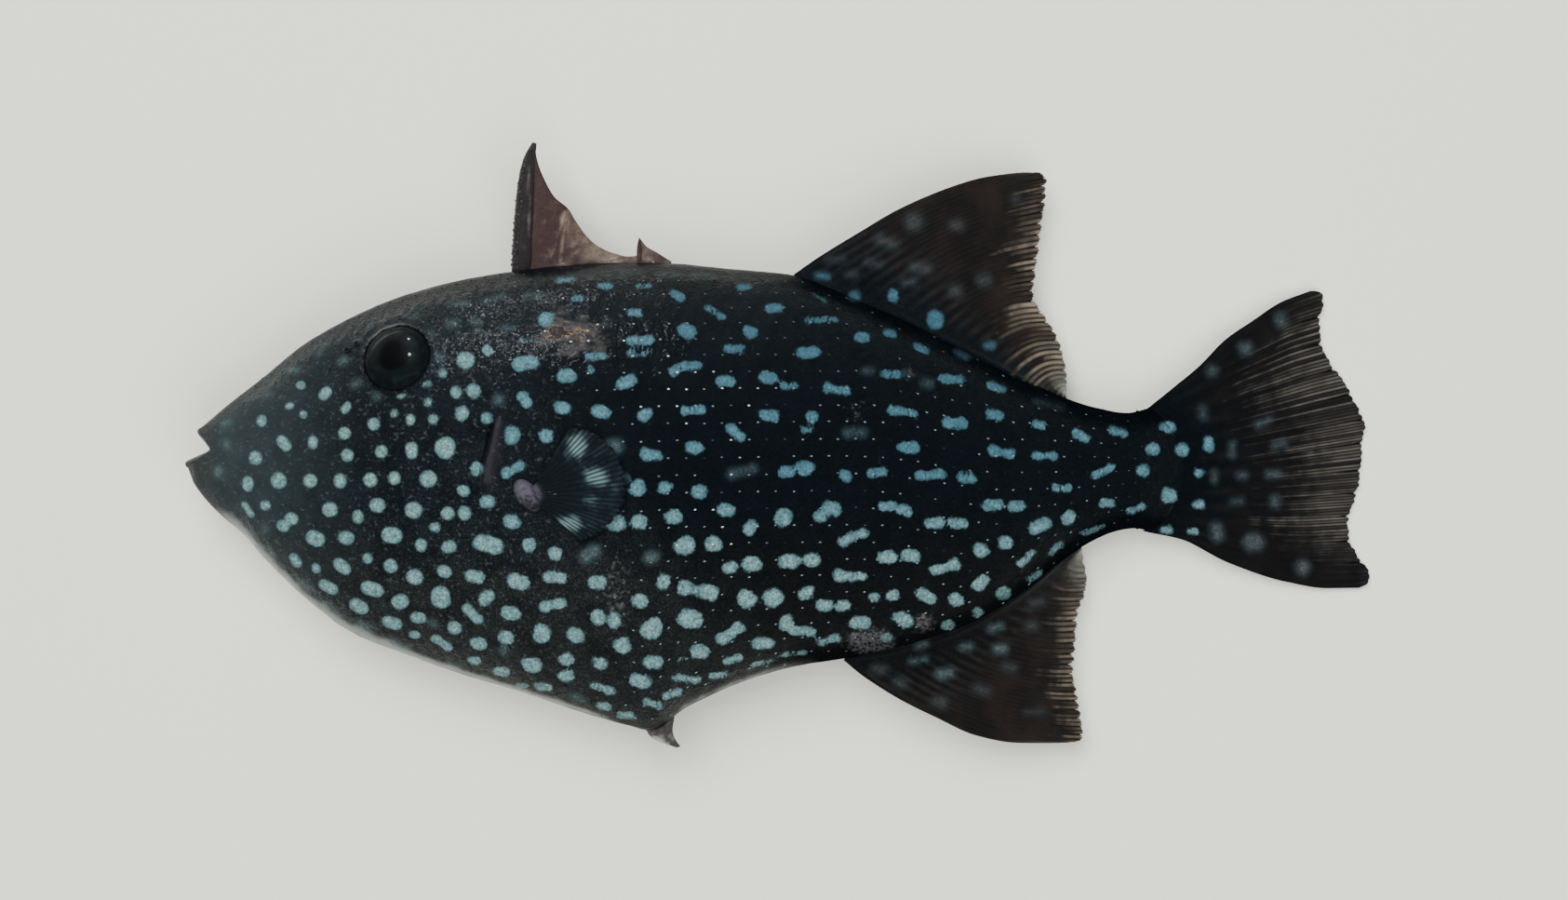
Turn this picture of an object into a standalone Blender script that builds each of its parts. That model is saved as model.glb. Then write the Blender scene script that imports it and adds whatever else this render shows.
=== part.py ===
"""A rough triggerfish, life size, lying on its right side as it was laid down on a board.

The head points to -X and the back to +Y. The left flank faces up, +Z, and the floor is z = 0.
Sizes below are in millimetres, and become metres where a mesh is made.
"""

import math

import bmesh
import bpy
from mathutils import Matrix, Vector

MM = 0.001
GAP = 0.3  # between two parts that touch

# Outlines and thickness along the body: each pair is x and the value there.
DORSAL = [
    (-156.6, 4.4), (-153.6, 7.1), (-150.6, 9.8), (-138.1, 19.5), (-128.1, 27.5), (-115.6, 34.5),
    (-100.6, 40.7), (-85.6, 44.5), (-73.1, 46.5), (-60.6, 48.0), (-48.1, 49.0), (-30.6, 48.6),
    (-13.1, 47.3), (1.9, 45.6), (14.4, 41.7), (26.9, 36.3), (39.4, 30.3), (52.1, 24.0),
    (64.8, 17.6), (77.5, 12.3), (85.2, 10.1), (93.0, 8.8), (100.7, 10.6),
]
VENTRAL = [
    (-160.9, -4.8), (-157.8, -11.4), (-151.0, -19.2), (-145.1, -24.0), (-138.1, -31.8),
    (-128.1, -41.8), (-115.6, -50.5), (-100.6, -56.7), (-85.6, -61.7), (-70.6, -66.5),
    (-55.6, -71.2), (-41.0, -75.8), (-36.5, -76.9), (-33.5, -76.4), (-30.5, -74.0), (-27.0, -71.0),
    (-20.6, -67.6), (-10.6, -63.6), (1.9, -59.8), (15.6, -57.6), (29.4, -55.4), (42.7, -51.8),
    (52.1, -47.9), (59.7, -43.4), (67.8, -37.6), (75.0, -31.6), (81.4, -27.4), (90.4, -23.5),
    (95.6, -22.8), (100.7, -24.3),
]
HALF_WIDTH = [
    (-160.9, 2.6), (-158.0, 4.9), (-155.0, 6.1), (-152.0, 7.2), (-146.0, 9.2), (-138.0, 11.6),
    (-126.0, 14.8), (-112.0, 18.2), (-98.0, 21.0), (-84.0, 22.9), (-70.0, 23.6), (-50.0, 23.6),
    (-30.0, 22.9), (-10.0, 21.2), (10.0, 18.7), (30.0, 15.6), (50.0, 12.2), (70.0, 9.1),
    (85.0, 7.0), (97.0, 5.6), (110.0, 4.2),
]
WIDEST_LEVEL = [
    (-160.9, -3.4), (-153.6, -1.3), (-140.0, -3.0), (-70.0, -4.0), (20.0, -3.0), (60.0, -7.5), (97.0, -6.9),
]
RIDGE_HALF = [(-160.9, 0.5), (-150.0, 1.0), (-120.0, 1.6), (-73.0, 1.9), (-20.0, 1.7), (110.0, 1.4)]
# Height of the middle plane: the tail sags towards the board.
MEDIAN = [
    (-160.9, 22.0), (10.0, 22.0), (40.0, 20.3), (70.0, 15.8), (96.0, 10.6), (108.0, 8.2),
    (130.0, 4.4), (150.0, 1.9), (162.0, 1.1),
]
BACK_SHARPNESS = 1.2  # 1 is an ellipse, more is a thinner edge
BELLY_SHARPNESS = 1.35
FLANK_STEPS = 14  # faces up one flank

# Mouth, a little open, with round lips
MOUTH_CORNER = (-151.9, -1.3)
UPPER_LIP = (-156.6, 2.2)
LOWER_LIP = (-160.9, -3.4)
MOUTH_HALF_WIDTH = 4.6
LIP_RADIUS = 1.4
MOUTH_DEPTH_X = -146.5
FACE_X = -145.0  # behind it, a ring round the body lies in one plane

# Where the body is parted: behind the gill opening, and behind the long fins
NECK_RIM_X = -73.9
NECK_MIDDLE_X = -71.6
STALK_X = 84.2
STALK_END_RIM_X = 99.5
STALK_END_MIDDLE_X = 109.6
STALK_THINS_X = 96.0  # from here the stalk thins to the root of the caudal fin
STALK_END_HALF = (0.8, 1.9)  # half thickness there, at the rims and in the middle

EYE_AT = (-102.2, 22.9)
EYE_RADIUS = 9.9
EYE_HALF_DEPTH = 6.0
EYE_SUNK = 2.8
RIM_RADIUS = 9.6
RIM_THICK = 1.0

GILL_RIDGE = [(-74.4, 7.0), (-75.6, 1.0), (-77.0, -5.0), (-77.8, -10.4)]
GILL_SLIT_AHEAD = 1.7
GROOVE = [(-123.8, 19.2), (-120.0, 20.0), (-116.2, 22.0)]
NOSTRILS = [(-115.9, 25.2), (-113.4, 26.8)]
NOSTRIL_RADIUS = 0.75

LOBE_AT = (-67.0, -13.4)
LOBE_RADII = (3.0, 5.1, 3.2)
LOBE_TURN = 36.0  # degrees from upright, its top towards the head
PECTORAL_RAYS = 15
PECTORAL_REACH = [(-40.0, 18.0), (-20.0, 22.5), (0.0, 25.5), (20.0, 26.0), (40.0, 24.5), (58.0, 21.0)]
RIGHT_LOBE_RADII = (3.0, 5.0, 1.7)
RIGHT_LOBE_HEIGHT = 2.1
RIGHT_FAN_HEIGHT = 0.85
RIGHT_RECESS_TOP = 1.7

DORSAL_RAYS = 24
ANAL_RAYS = 21
CAUDAL_RAYS = 12
FIN_DROOP = 5.0  # how far the margins of the two long fins sag
RAY_SWEEP = 0.5  # how much of a long fin's ray lies along its heading at the margin
DORSAL_BASE = (2.6, 76.3)
ANAL_BASE = (16.0, 80.6)

PALETTE = {
    "skin": ((0.012, 0.020, 0.030), 0.42),
    "fin": ((0.035, 0.026, 0.024), 0.50),
    "spine": ((0.045, 0.038, 0.040), 0.55),
    "eye": ((0.006, 0.007, 0.009), 0.08),
}


def smooth(points, x):
    """The value at x of a curve through points, without overshoot between them."""
    if x <= points[0][0]:
        return points[0][1]
    if x >= points[-1][0]:
        return points[-1][1]
    last = len(points) - 1
    i = max(k for k in range(last) if points[k][0] <= x)

    def secant(k):
        return (points[k + 1][1] - points[k][1]) / (points[k + 1][0] - points[k][0])

    def slope(k):
        if k == 0 or k == last:
            return secant(min(k, last - 1))
        before, after = secant(k - 1), secant(k)
        return 0.0 if before * after <= 0 else 2 * before * after / (before + after)

    wide = points[i + 1][0] - points[i][0]
    t = (x - points[i][0]) / wide
    start = points[i][1] * (1 + 2 * t) * (1 - t) ** 2 + slope(i) * wide * t * (1 - t) ** 2
    end = points[i + 1][1] * t * t * (3 - 2 * t) + slope(i + 1) * wide * t * t * (t - 1)
    return start + end


def mix(a, b, share):
    return a + (b - a) * share


# The body's surface


def flank_point(x, angle, side):
    """A point of the skin: angle is -90 degrees at the belly and 90 at the back, side is 1 on the left."""
    rise, out = math.sin(angle), max(0.0, math.cos(angle))
    level = smooth(WIDEST_LEVEL, x)
    if rise >= 0:
        y = level + (smooth(DORSAL, x) - level) * rise
        swell = out**BACK_SHARPNESS
    else:
        y = level + (level - smooth(VENTRAL, x)) * rise
        swell = out**BELLY_SHARPNESS
    ridge = smooth(RIDGE_HALF, x)
    z = smooth(MEDIAN, x) + side * (ridge + (smooth(HALF_WIDTH, x) - ridge) * swell)
    return Vector((x, y, max(z, 0.0)))


def flank_height(x, y):
    """Height of the left flank's skin above the floor, over the point x, y."""
    level = smooth(WIDEST_LEVEL, x)
    reach = smooth(DORSAL, x) - level if y >= level else level - smooth(VENTRAL, x)
    rise = max(-1.0, min(1.0, (y - level) / reach))
    return flank_point(x, math.asin(rise), 1).z


def flank_frame(x, y):
    """A frame on the left flank: X towards the tail, Y towards the back, Z out of the skin."""
    step = 1.0
    tail = Vector((2 * step, 0, flank_height(x + step, y) - flank_height(x - step, y)))
    back = Vector((0, 2 * step, flank_height(x, y + step) - flank_height(x, y - step)))
    out = tail.cross(back).normalized()
    tail.normalize()
    frame = Matrix((tail, out.cross(tail), out)).transposed().to_4x4()
    frame.translation = Vector((x, y, flank_height(x, y)))
    return frame


def neck_x(angle):
    return mix(NECK_RIM_X, NECK_MIDDLE_X, math.cos(angle) ** 2)


def stalk_end_x(angle):
    return mix(STALK_END_RIM_X, STALK_END_MIDDLE_X, math.cos(angle) ** 2)


def ring(place):
    """A closed ring of points, up the left flank and down the right. place takes the angle and the side."""
    angles = [math.radians(-90 + 180 * k / FLANK_STEPS) for k in range(FLANK_STEPS + 1)]
    return [place(a, 1) for a in angles] + [place(a, -1) for a in reversed(angles)]


def body_ring(x_of_angle):
    return ring(lambda angle, side: flank_point(x_of_angle(angle), angle, side))


def lip_edge(angle, side):
    """The mouth's opening, and the direction out from it across the lip."""
    front = UPPER_LIP if angle >= 0 else LOWER_LIP
    forward = math.sin(angle) ** 2
    across = side * (0.3 + (MOUTH_HALF_WIDTH - 0.3) * max(0.0, math.cos(angle)))
    edge = Vector((
        mix(MOUTH_CORNER[0], front[0], forward),
        mix(MOUTH_CORNER[1], front[1], forward),
        across,
    ))
    return edge, Vector((0, math.sin(angle), side * max(0.0, math.cos(angle))))


def in_mouth(depth):
    """Places points between the lips' inner edge, at depth 0, and the throat, at depth 1."""

    def place(angle, side):
        edge, out = lip_edge(angle, side)
        x = mix(edge.x + 1.6 * LIP_RADIUS, MOUTH_DEPTH_X, depth)
        y = mix(edge.y, MOUTH_CORNER[1] + 0.9 * math.sin(angle), depth**0.7)
        return Vector((x, y, mix(edge.z, 0.55 * edge.z, depth) + smooth(MEDIAN, x)))

    return place


def on_lip(turn):
    """Places points on the round lip: turn is -90 degrees inside the mouth, 0 in front and 90 outside."""

    def place(angle, side):
        edge, out = lip_edge(angle, side)
        middle = edge + LIP_RADIUS * (out + Vector((1, 0, 0)))
        point = middle + LIP_RADIUS * (math.sin(turn) * out - math.cos(turn) * Vector((1, 0, 0)))
        return point + Vector((0, 0, smooth(MEDIAN, point.x)))

    return place


def behind_lip(share):
    """The angle's x, from just behind the lip at share 0 to the plane of the face at share 1."""

    def x_of_angle(angle):
        edge, _ = lip_edge(angle, 1)
        return mix(edge.x + LIP_RADIUS, FACE_X, share)

    return x_of_angle


# Making meshes


def finish(bm, name, material, is_smooth=True):
    """Turns bm, in millimetres, into an object of that name with one material."""
    bm.normal_update()
    bmesh.ops.recalc_face_normals(bm, faces=bm.faces)
    bmesh.ops.scale(bm, vec=(MM, MM, MM), verts=bm.verts)
    mesh = bpy.data.meshes.new(name)
    bm.to_mesh(mesh)
    bm.free()
    if is_smooth:
        mesh.shade_smooth()
        mesh.set_sharp_from_angle(angle=math.radians(50))
    obj = bpy.data.objects.new(name, mesh)
    bpy.context.scene.collection.objects.link(obj)
    obj.data.materials.append(material)
    return obj


def loft(rings):
    """A closed mesh through rings of points, with each end zipped shut from left to right."""
    bm = bmesh.new()
    rows = [[bm.verts.new(p) for p in points] for points in rings]
    count = len(rows[0])
    for row, after in zip(rows, rows[1:]):
        for k in range(count):
            n = (k + 1) % count
            bm.faces.new((row[k], row[n], after[n], after[k]))
    for row in (rows[0], rows[-1]):
        for k in range(count // 2 - 1):
            bm.faces.new((row[k], row[k + 1], row[count - 2 - k], row[count - 1 - k]))
    return bm


def plate(columns, rows, place, half):
    """A thin closed sheet, such as a fin: place gives its middle at u, v, and half its half thickness there.

    Both faces are split along the same diagonals, so they can't cross where the sheet curves.
    """
    bm = bmesh.new()
    faces = {}
    for side in (1, -1):
        for i in range(columns + 1):
            for j in range(rows + 1):
                u, v = i / columns, j / rows
                faces[side, i, j] = bm.verts.new(place(u, v) + Vector((0, 0, side * half(u, v))))
        for i in range(columns):
            for j in range(rows):
                a, b = faces[side, i, j], faces[side, i + 1, j]
                c, d = faces[side, i + 1, j + 1], faces[side, i, j + 1]
                bm.faces.new((a, b, c))
                bm.faces.new((a, c, d))
    rim = [(i, 0) for i in range(columns)] + [(columns, j) for j in range(rows)]
    rim += [(i, rows) for i in range(columns, 0, -1)] + [(0, j) for j in range(rows, 0, -1)]
    for (i, j), (k, m) in zip(rim, rim[1:] + rim[:1]):
        bm.faces.new((faces[1, i, j], faces[1, k, m], faces[-1, k, m], faces[-1, i, j]))
    return bm


def tube(points, across, deep, normals, sides=8, is_loop=False):
    """A closed tube along points: half widths across and deep at each, deep along that point's normal."""
    bm = bmesh.new()
    rows = []
    for k, point in enumerate(points):
        ahead = points[(k + 1) % len(points)] if is_loop or k + 1 < len(points) else point
        behind = points[k - 1] if is_loop or k else point
        normal = normals[k]
        aside = (ahead - behind).cross(normal).normalized()
        rows.append([
            bm.verts.new(point + across[k] * math.cos(t) * aside + deep[k] * math.sin(t) * normal)
            for t in (2 * math.pi * n / sides for n in range(sides))
        ])
    pairs = zip(rows, rows[1:] + rows[:1]) if is_loop else zip(rows, rows[1:])
    for row, after in pairs:
        for n in range(sides):
            m = (n + 1) % sides
            bm.faces.new((row[n], row[m], after[m], after[n]))
    if not is_loop:
        bm.faces.new(rows[0])
        bm.faces.new(rows[-1])
    return bm


def ellipsoid(radii, frame, steps=20, sunk=0.0):
    """A ball squashed to radii in a frame, its middle sunk below the frame's origin."""
    bm = bmesh.new()
    bmesh.ops.create_uvsphere(bm, u_segments=steps, v_segments=steps // 2, radius=1.0)
    shape = frame @ Matrix.Translation((0, 0, -sunk)) @ Matrix.Diagonal((*radii, 1.0))
    bmesh.ops.transform(bm, matrix=shape, verts=bm.verts)
    return bm


def mirrored(bm):
    """A copy of bm on the right side of the head or shoulder, where the middle plane is level."""
    other = bm.copy()
    middle = smooth(MEDIAN, NECK_RIM_X)
    for vert in other.verts:
        vert.co.z = 2 * middle - vert.co.z
    return other


def both_sides(bm, name):
    """Two helper objects, left and right, from a shape made on the left."""
    right = mirrored(bm)
    skin = PALETTE_MATERIALS["skin"]
    return [finish(bm, name + "_left", skin), finish(right, name + "_right", skin)]


def keep_largest(mesh):
    """Leaves only the mesh's largest closed surface."""
    bm = bmesh.new()
    bm.from_mesh(mesh)
    unseen, shells = set(bm.faces), []
    while unseen:
        stack, shell = [unseen.pop()], []
        while stack:
            face = stack.pop()
            shell.append(face)
            near = {f for edge in face.edges for f in edge.link_faces} & unseen
            unseen -= near
            stack.extend(near)
        shells.append(shell)
    largest = max(shells, key=lambda shell: sum(face.calc_area() for face in shell))
    kept = set(largest)
    bmesh.ops.delete(bm, geom=[f for f in bm.faces if f not in kept], context="FACES")
    bm.to_mesh(mesh)
    bm.free()


def combine(obj, pieces, operation):
    """Joins pieces to obj, or cuts them from it, with one Boolean, applies it and removes the pieces."""
    group = bpy.data.collections.new(obj.name + "_pieces")
    bpy.context.scene.collection.children.link(group)
    for piece in pieces:
        bpy.context.scene.collection.objects.unlink(piece)
        group.objects.link(piece)
    modifier = obj.modifiers.new(operation.lower(), "BOOLEAN")
    modifier.operation = operation
    modifier.operand_type = "COLLECTION"
    modifier.collection = group
    modifier.solver = "EXACT"
    bpy.context.view_layer.update()
    graph = bpy.context.evaluated_depsgraph_get()
    made = bpy.data.meshes.new_from_object(obj.evaluated_get(graph))
    obj.modifiers.clear()
    obj.data = made
    for piece in pieces:
        bpy.data.objects.remove(piece)
    bpy.data.collections.remove(group)
    keep_largest(obj.data)


# The sub-parts


def head():
    rings = [ring(in_mouth(depth)) for depth in (1.0, 0.6, 0.2)]
    rings += [ring(on_lip(math.radians(turn))) for turn in (-60, -15, 30, 75)]
    rings += [body_ring(behind_lip(share)) for share in (0.18, 0.4, 0.7)]
    planes = 15
    for k in range(planes + 1):
        share = k / planes
        bend = share**4
        rings.append(body_ring(
            lambda angle: mix(FACE_X, mix(NECK_RIM_X, neck_x(angle), bend) - GAP / 2, share)
        ))
    obj = finish(loft(rings), "head", PALETTE_MATERIALS["skin"])
    combine(obj, head_reliefs(), "UNION")
    combine(obj, head_hollows(), "DIFFERENCE")
    return obj


def skin_line(points, sunk=0.0):
    """Points on the left flank over x, y pairs, sunk below the skin, and the skin's normals there."""
    frames = [flank_frame(x, y) for x, y in points]
    return (
        [frame.translation - sunk * frame.col[2].to_3d() for frame in frames],
        [frame.col[2].to_3d() for frame in frames],
    )


def head_reliefs():
    """The fold round each eye, and the fleshy ridge behind the left gill opening.

    The ridge on the right is pressed flat into the flank that the fish lies on.
    """
    steps = 22
    turns = [2 * math.pi * k / steps for k in range(steps)]
    circle = [(EYE_AT[0] + RIM_RADIUS * math.cos(t), EYE_AT[1] + RIM_RADIUS * math.sin(t)) for t in turns]
    points, normals = skin_line(circle, sunk=0.5)
    rim = tube(points, [RIM_THICK] * steps, [RIM_THICK] * steps, normals, sides=6, is_loop=True)
    points, normals = skin_line(GILL_RIDGE, sunk=0.3)
    ridge = tube(points, [0.6, 1.3, 1.3, 0.6], [0.7, 1.5, 1.5, 0.7], normals, sides=8)
    return both_sides(rim, "eye_rim") + [finish(ridge, "gill_ridge", PALETTE_MATERIALS["skin"])]


def head_hollows():
    """Eye sockets, gill openings, the groove before each eye, and two nostrils a side."""
    frame = flank_frame(*EYE_AT)
    radii = (EYE_RADIUS + GAP, EYE_RADIUS + GAP, EYE_HALF_DEPTH + GAP)
    cuts = both_sides(ellipsoid(radii, frame, steps=24, sunk=EYE_SUNK), "socket")
    points, normals = skin_line([(x - GILL_SLIT_AHEAD, y) for x, y in GILL_RIDGE])
    slit = tube(points, [0.3, 0.8, 0.8, 0.3], [1.0, 2.6, 2.6, 1.0], normals, sides=6)
    cuts += both_sides(slit, "gill_slit")
    points, normals = skin_line(GROOVE)
    groove = tube(points, [0.3, 0.8, 0.3], [0.4, 1.0, 0.4], normals, sides=6)
    cuts += both_sides(groove, "groove")
    for n, place in enumerate(NOSTRILS):
        pit = ellipsoid((NOSTRIL_RADIUS, NOSTRIL_RADIUS, 1.2), flank_frame(*place), steps=8)
        cuts += both_sides(pit, f"nostril_{n}")
    return cuts


def eyes():
    radii = (EYE_RADIUS, EYE_RADIUS, EYE_HALF_DEPTH)
    ball = ellipsoid(radii, flank_frame(*EYE_AT), steps=24, sunk=EYE_SUNK)
    other = mirrored(ball)
    finish(ball, "eye_left", PALETTE_MATERIALS["eye"])
    finish(other, "eye_right", PALETTE_MATERIALS["eye"])


def trunk():
    shoulder_x = -66.0
    rings = [
        body_ring(lambda angle: mix(neck_x(angle) + GAP / 2, shoulder_x, share))
        for share in (0.0, 0.5)
    ]
    stations = [shoulder_x + 6.0 * k for k in range(5)] + [-37.5, -34.5, -32.0, -29.5, -27.0, -23.0]
    stations += [-17.0 + 7.2 * k for k in range(14)] + [STALK_X - GAP / 2]
    rings += [body_ring(lambda angle: x) for x in stations]
    obj = finish(loft(rings), "trunk", PALETTE_MATERIALS["skin"])
    cuts = [
        finish(left_lobe(GAP), "pocket_left", PALETTE_MATERIALS["skin"]),
        finish(right_lobe(GAP), "pocket_right", PALETTE_MATERIALS["skin"]),
        finish(right_recess(), "recess_right", PALETTE_MATERIALS["skin"]),
    ]
    combine(obj, cuts, "DIFFERENCE")
    return obj


def stalk_end_half(angle):
    return mix(STALK_END_HALF[0], STALK_END_HALF[1], math.cos(angle) ** 2)


def thinning_stalk(share):
    """Places points of the stalk's end, from full thickness at share 0 to the fin's root at share 1."""

    def place(angle, side):
        point = flank_point(mix(STALK_THINS_X, stalk_end_x(angle), share), angle, side)
        middle = smooth(MEDIAN, point.x)
        half = mix(abs(point.z - middle), stalk_end_half(angle), share**1.3)
        return Vector((point.x, point.y, middle + side * half))

    return place


def tail_stalk():
    rings = [body_ring(lambda angle: x) for x in (STALK_X + GAP / 2, 88.2, 92.2)]
    rings += [ring(thinning_stalk(share)) for share in (0.0, 0.25, 0.5, 0.75, 1.0)]
    return finish(loft(rings), "tail_stalk", PALETTE_MATERIALS["skin"])


# Fins with soft rays


def ray_half(u, v, rays, root, ridge, web):
    """Half thickness of a fin: a ridge along each ray, with web between, from a thick root."""
    across = u * rays % 1.0
    is_ray = abs(across - 0.5) < 0.01 or u in (0.0, 1.0)
    thin = mix(ridge, 0.42 * ridge, v) if is_ray else mix(web, 0.85 * web, v)
    return mix(root, thin, min(1.0, v / 0.16))


def along(points, share):
    """A point at that share of a polyline's numbered points, rounded between them."""
    xs = [(k, p[0]) for k, p in enumerate(points)]
    ys = [(k, p[1]) for k, p in enumerate(points)]
    at = share * (len(points) - 1)
    return smooth(xs, at), smooth(ys, at)


def keyed(points, u):
    """The x, y of an edge given as (u, x, y) points."""
    return smooth([(p[0], p[1]) for p in points], u), smooth([(p[0], p[2]) for p in points], u)


def long_fin(name, rays, profile, side, base, lead, rear):
    """The soft dorsal or the anal fin: its base lies on the profile, side is 1 on the back.

    The first ray follows the front edge, lead. The others sweep back to the rear edge, whose points
    are the share of the base, x, y, and the slope at which a ray meets the edge there.
    """
    rows = 8

    def swept(u, v):
        base_x = mix(*base, u)
        base_y = smooth(profile, base_x) + side * GAP
        tip_x, tip_y = keyed(rear, u)
        slope = smooth([(p[0], p[3]) for p in rear], u)
        back = RAY_SWEEP * math.dist((base_x, base_y), (tip_x, tip_y))
        turn_x, turn_y = tip_x - back, tip_y - back * slope
        x = (1 - v) ** 2 * base_x + 2 * v * (1 - v) * turn_x + v * v * tip_x
        y = (1 - v) ** 2 * base_y + 2 * v * (1 - v) * turn_y + v * v * tip_y
        return x, y, tip_x - turn_x, tip_y - turn_y

    def place(u, v):
        x, y, ahead_x, ahead_y = swept(u, v)
        first_x, first_y, _, _ = swept(0.0, v)
        lead_x, lead_y = along(lead, v)
        pull = max(0.0, 1 - u / 0.14) ** 2
        x += pull * (lead_x - first_x)
        y += pull * (lead_y - first_y)
        if v == 1.0 and abs(u * rays % 1.0 - 0.5) < 0.01:
            x += 0.9 * ahead_x / math.hypot(ahead_x, ahead_y)
            y += 0.9 * ahead_y / math.hypot(ahead_x, ahead_y)
        return Vector((x, y, smooth(MEDIAN, x) - FIN_DROOP * v * v))

    def half(u, v):
        return ray_half(u, v, rays, 1.25, 0.8, 0.33)

    return finish(plate(2 * rays, rows, place, half), name, PALETTE_MATERIALS["fin"])


DORSAL_LEAD = [
    (2.6, 45.7), (9.0, 50.2), (20.0, 57.0), (31.0, 63.5), (44.5, 69.4), (54.0, 72.4), (62.0, 73.8),
]
DORSAL_REAR = [
    (0.0, 62.0, 73.8, 0.25), (0.05, 68.2, 74.0, 0.25), (0.085, 70.6, 72.4, 0.22),
    (0.20, 70.4, 66.6, 0.20), (0.30, 69.3, 59.6, 0.18), (0.40, 68.3, 52.0, 0.16),
    (0.50, 67.4, 44.4, 0.12), (0.56, 67.0, 40.8, 0.08), (0.62, 69.4, 36.2, 0.0),
    (0.70, 72.6, 31.4, -0.05), (0.80, 75.2, 25.4, -0.10), (0.90, 76.6, 18.8, -0.15), (1.0, 76.8, 14.0, -0.2),
]
ANAL_LEAD = [
    (16.0, -57.8), (20.5, -61.6), (30.8, -68.3), (41.0, -73.5), (52.0, -78.6), (62.5, -80.8), (71.0, -81.2),
]
ANAL_REAR = [
    (0.0, 71.0, -81.2, -0.08), (0.05, 78.4, -81.0, -0.06), (0.09, 80.8, -79.2, -0.05),
    (0.20, 80.2, -74.0, -0.02), (0.34, 78.9, -66.9, 0.0), (0.46, 77.9, -60.6, 0.03),
    (0.58, 78.8, -53.4, 0.05), (0.70, 79.5, -45.8, 0.08), (0.79, 81.4, -41.0, 0.10),
    (0.88, 82.2, -36.4, 0.12), (0.94, 81.6, -32.6, 0.15), (1.0, 81.2, -28.6, 0.2),
]


def caudal_fin():
    """Twelve rays, each parted in two beyond its middle."""
    columns, rows = 4 * CAUDAL_RAYS, 9
    top_edge = [
        (99.5, 10.6), (106.6, 16.2), (113.3, 21.6), (120.8, 29.0), (128.2, 34.0), (136.5, 39.3),
        (144.6, 42.3),
    ]
    low_edge = [
        (99.5, -24.0), (108.5, -25.9), (121.5, -32.3), (137.2, -37.5), (149.0, -39.4), (158.4, -39.3),
    ]
    rear_edge = [
        (0.0, 144.6, 42.3), (0.02, 147.1, 41.7), (0.045, 147.8, 39.2), (0.10, 146.7, 33.5),
        (0.16, 147.0, 28.2), (0.23, 149.8, 22.2), (0.28, 152.8, 18.4), (0.33, 155.2, 14.1),
        (0.39, 157.6, 9.2), (0.43, 159.4, 5.9), (0.50, 158.5, 0.5), (0.60, 157.9, -8.4),
        (0.67, 156.9, -13.5), (0.73, 155.2, -18.1), (0.78, 154.5, -22.0), (0.84, 155.4, -27.0),
        (0.90, 157.6, -31.2), (0.95, 160.2, -34.6), (0.98, 160.5, -37.4), (1.0, 158.4, -39.3),
    ]

    def place(u, v):
        angle = math.radians(90 - 180 * u)
        base = flank_point(stalk_end_x(angle), angle, 1)
        base.x += GAP
        base_y = base.y
        edge_x, edge_y = keyed(rear_edge, u)
        is_tip = abs(4 * u * CAUDAL_RAYS % 2.0 - 1.0) < 0.01
        reach = v + (0.012 if is_tip and v == 1.0 else 0.0)
        x, y = mix(base.x, edge_x, reach), mix(base_y, edge_y, reach)
        for edge, weight in ((top_edge, max(0.0, 1 - 2.2 * u)), (low_edge, max(0.0, 2.2 * u - 1.2))):
            bent_x, bent_y = along(edge, v)
            straight_x = mix(edge[0][0], edge[-1][0], v)
            straight_y = mix(edge[0][1], edge[-1][1], v)
            x += weight**2 * (bent_x - straight_x)
            y += weight**2 * (bent_y - straight_y)
        return Vector((x, y, smooth(MEDIAN, x)))

    def half(u, v):
        across = round(4 * (u * CAUDAL_RAYS % 1.0)) % 4
        is_ray = across == 2 if v < 0.5 else across in (1, 3)
        thin = mix(0.8, 0.42, v) if is_ray or u in (0.0, 1.0) else mix(0.4, 0.28, v)
        root = stalk_end_half(math.radians(90 - 180 * u)) - 0.1
        return mix(root, thin, min(1.0, v / 0.2))

    return finish(plate(columns, rows, place, half), "caudal_fin", PALETTE_MATERIALS["fin"])


def first_dorsal_fin():
    """Three spines, the first stout and rough in front, with a web behind each."""
    web_edge = [
        (0.0, -66.9, 79.6), (0.03, -66.1, 75.7), (0.08, -64.1, 70.7), (0.14, -61.6, 66.5),
        (0.23, -58.0, 63.4),
        (0.30, -55.9, 60.0), (0.38, -52.9, 55.9), (0.46, -49.9, 53.3), (0.56, -45.6, 51.4),
        (0.68, -41.6, 50.6), (0.72, -39.5, 50.8), (0.76, -38.8, 55.2), (0.84, -36.8, 53.2),
        (0.92, -33.9, 51.7), (1.0, -30.2, 50.1),
    ]
    columns, rows = 25, 4
    first_x, last_x = -70.6, -30.4
    base_share = [(0.0, 0.0), (0.23, 0.26), (0.75, 0.79), (1.0, 1.0)]

    def place(u, v):
        base_x = mix(first_x, last_x, smooth(base_share, u))
        base_y = smooth(DORSAL, base_x) + GAP
        edge_x, edge_y = keyed(web_edge, u)
        return Vector((mix(base_x, edge_x, v), mix(base_y, edge_y, v), smooth(MEDIAN, base_x)))

    first = [(-70.5, 0), (-69.9, 59.5), (-69.3, 69.5), (-68.4, 76.5), (-67.0, 81.3)]
    second = [(-60.2, 0), (-59.4, 55.0), (-58.5, 60.5), (-58.0, 63.3)]
    third = [(-38.9, 0), (-38.9, 52.5), (-38.8, 55.7)]
    web = plate(columns, rows, place, lambda u, v: mix(0.5, 0.3, v))
    web = finish(web, "first_dorsal_fin", PALETTE_MATERIALS["spine"])
    spines = [
        spine(first, 2.8, 1.8, rough=0.35),
        spine(second, 0.9, 0.9, rough=0.0),
        spine(third, 0.8, 0.8, rough=0.0),
    ]
    combine(web, spines, "UNION")
    return web


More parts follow.
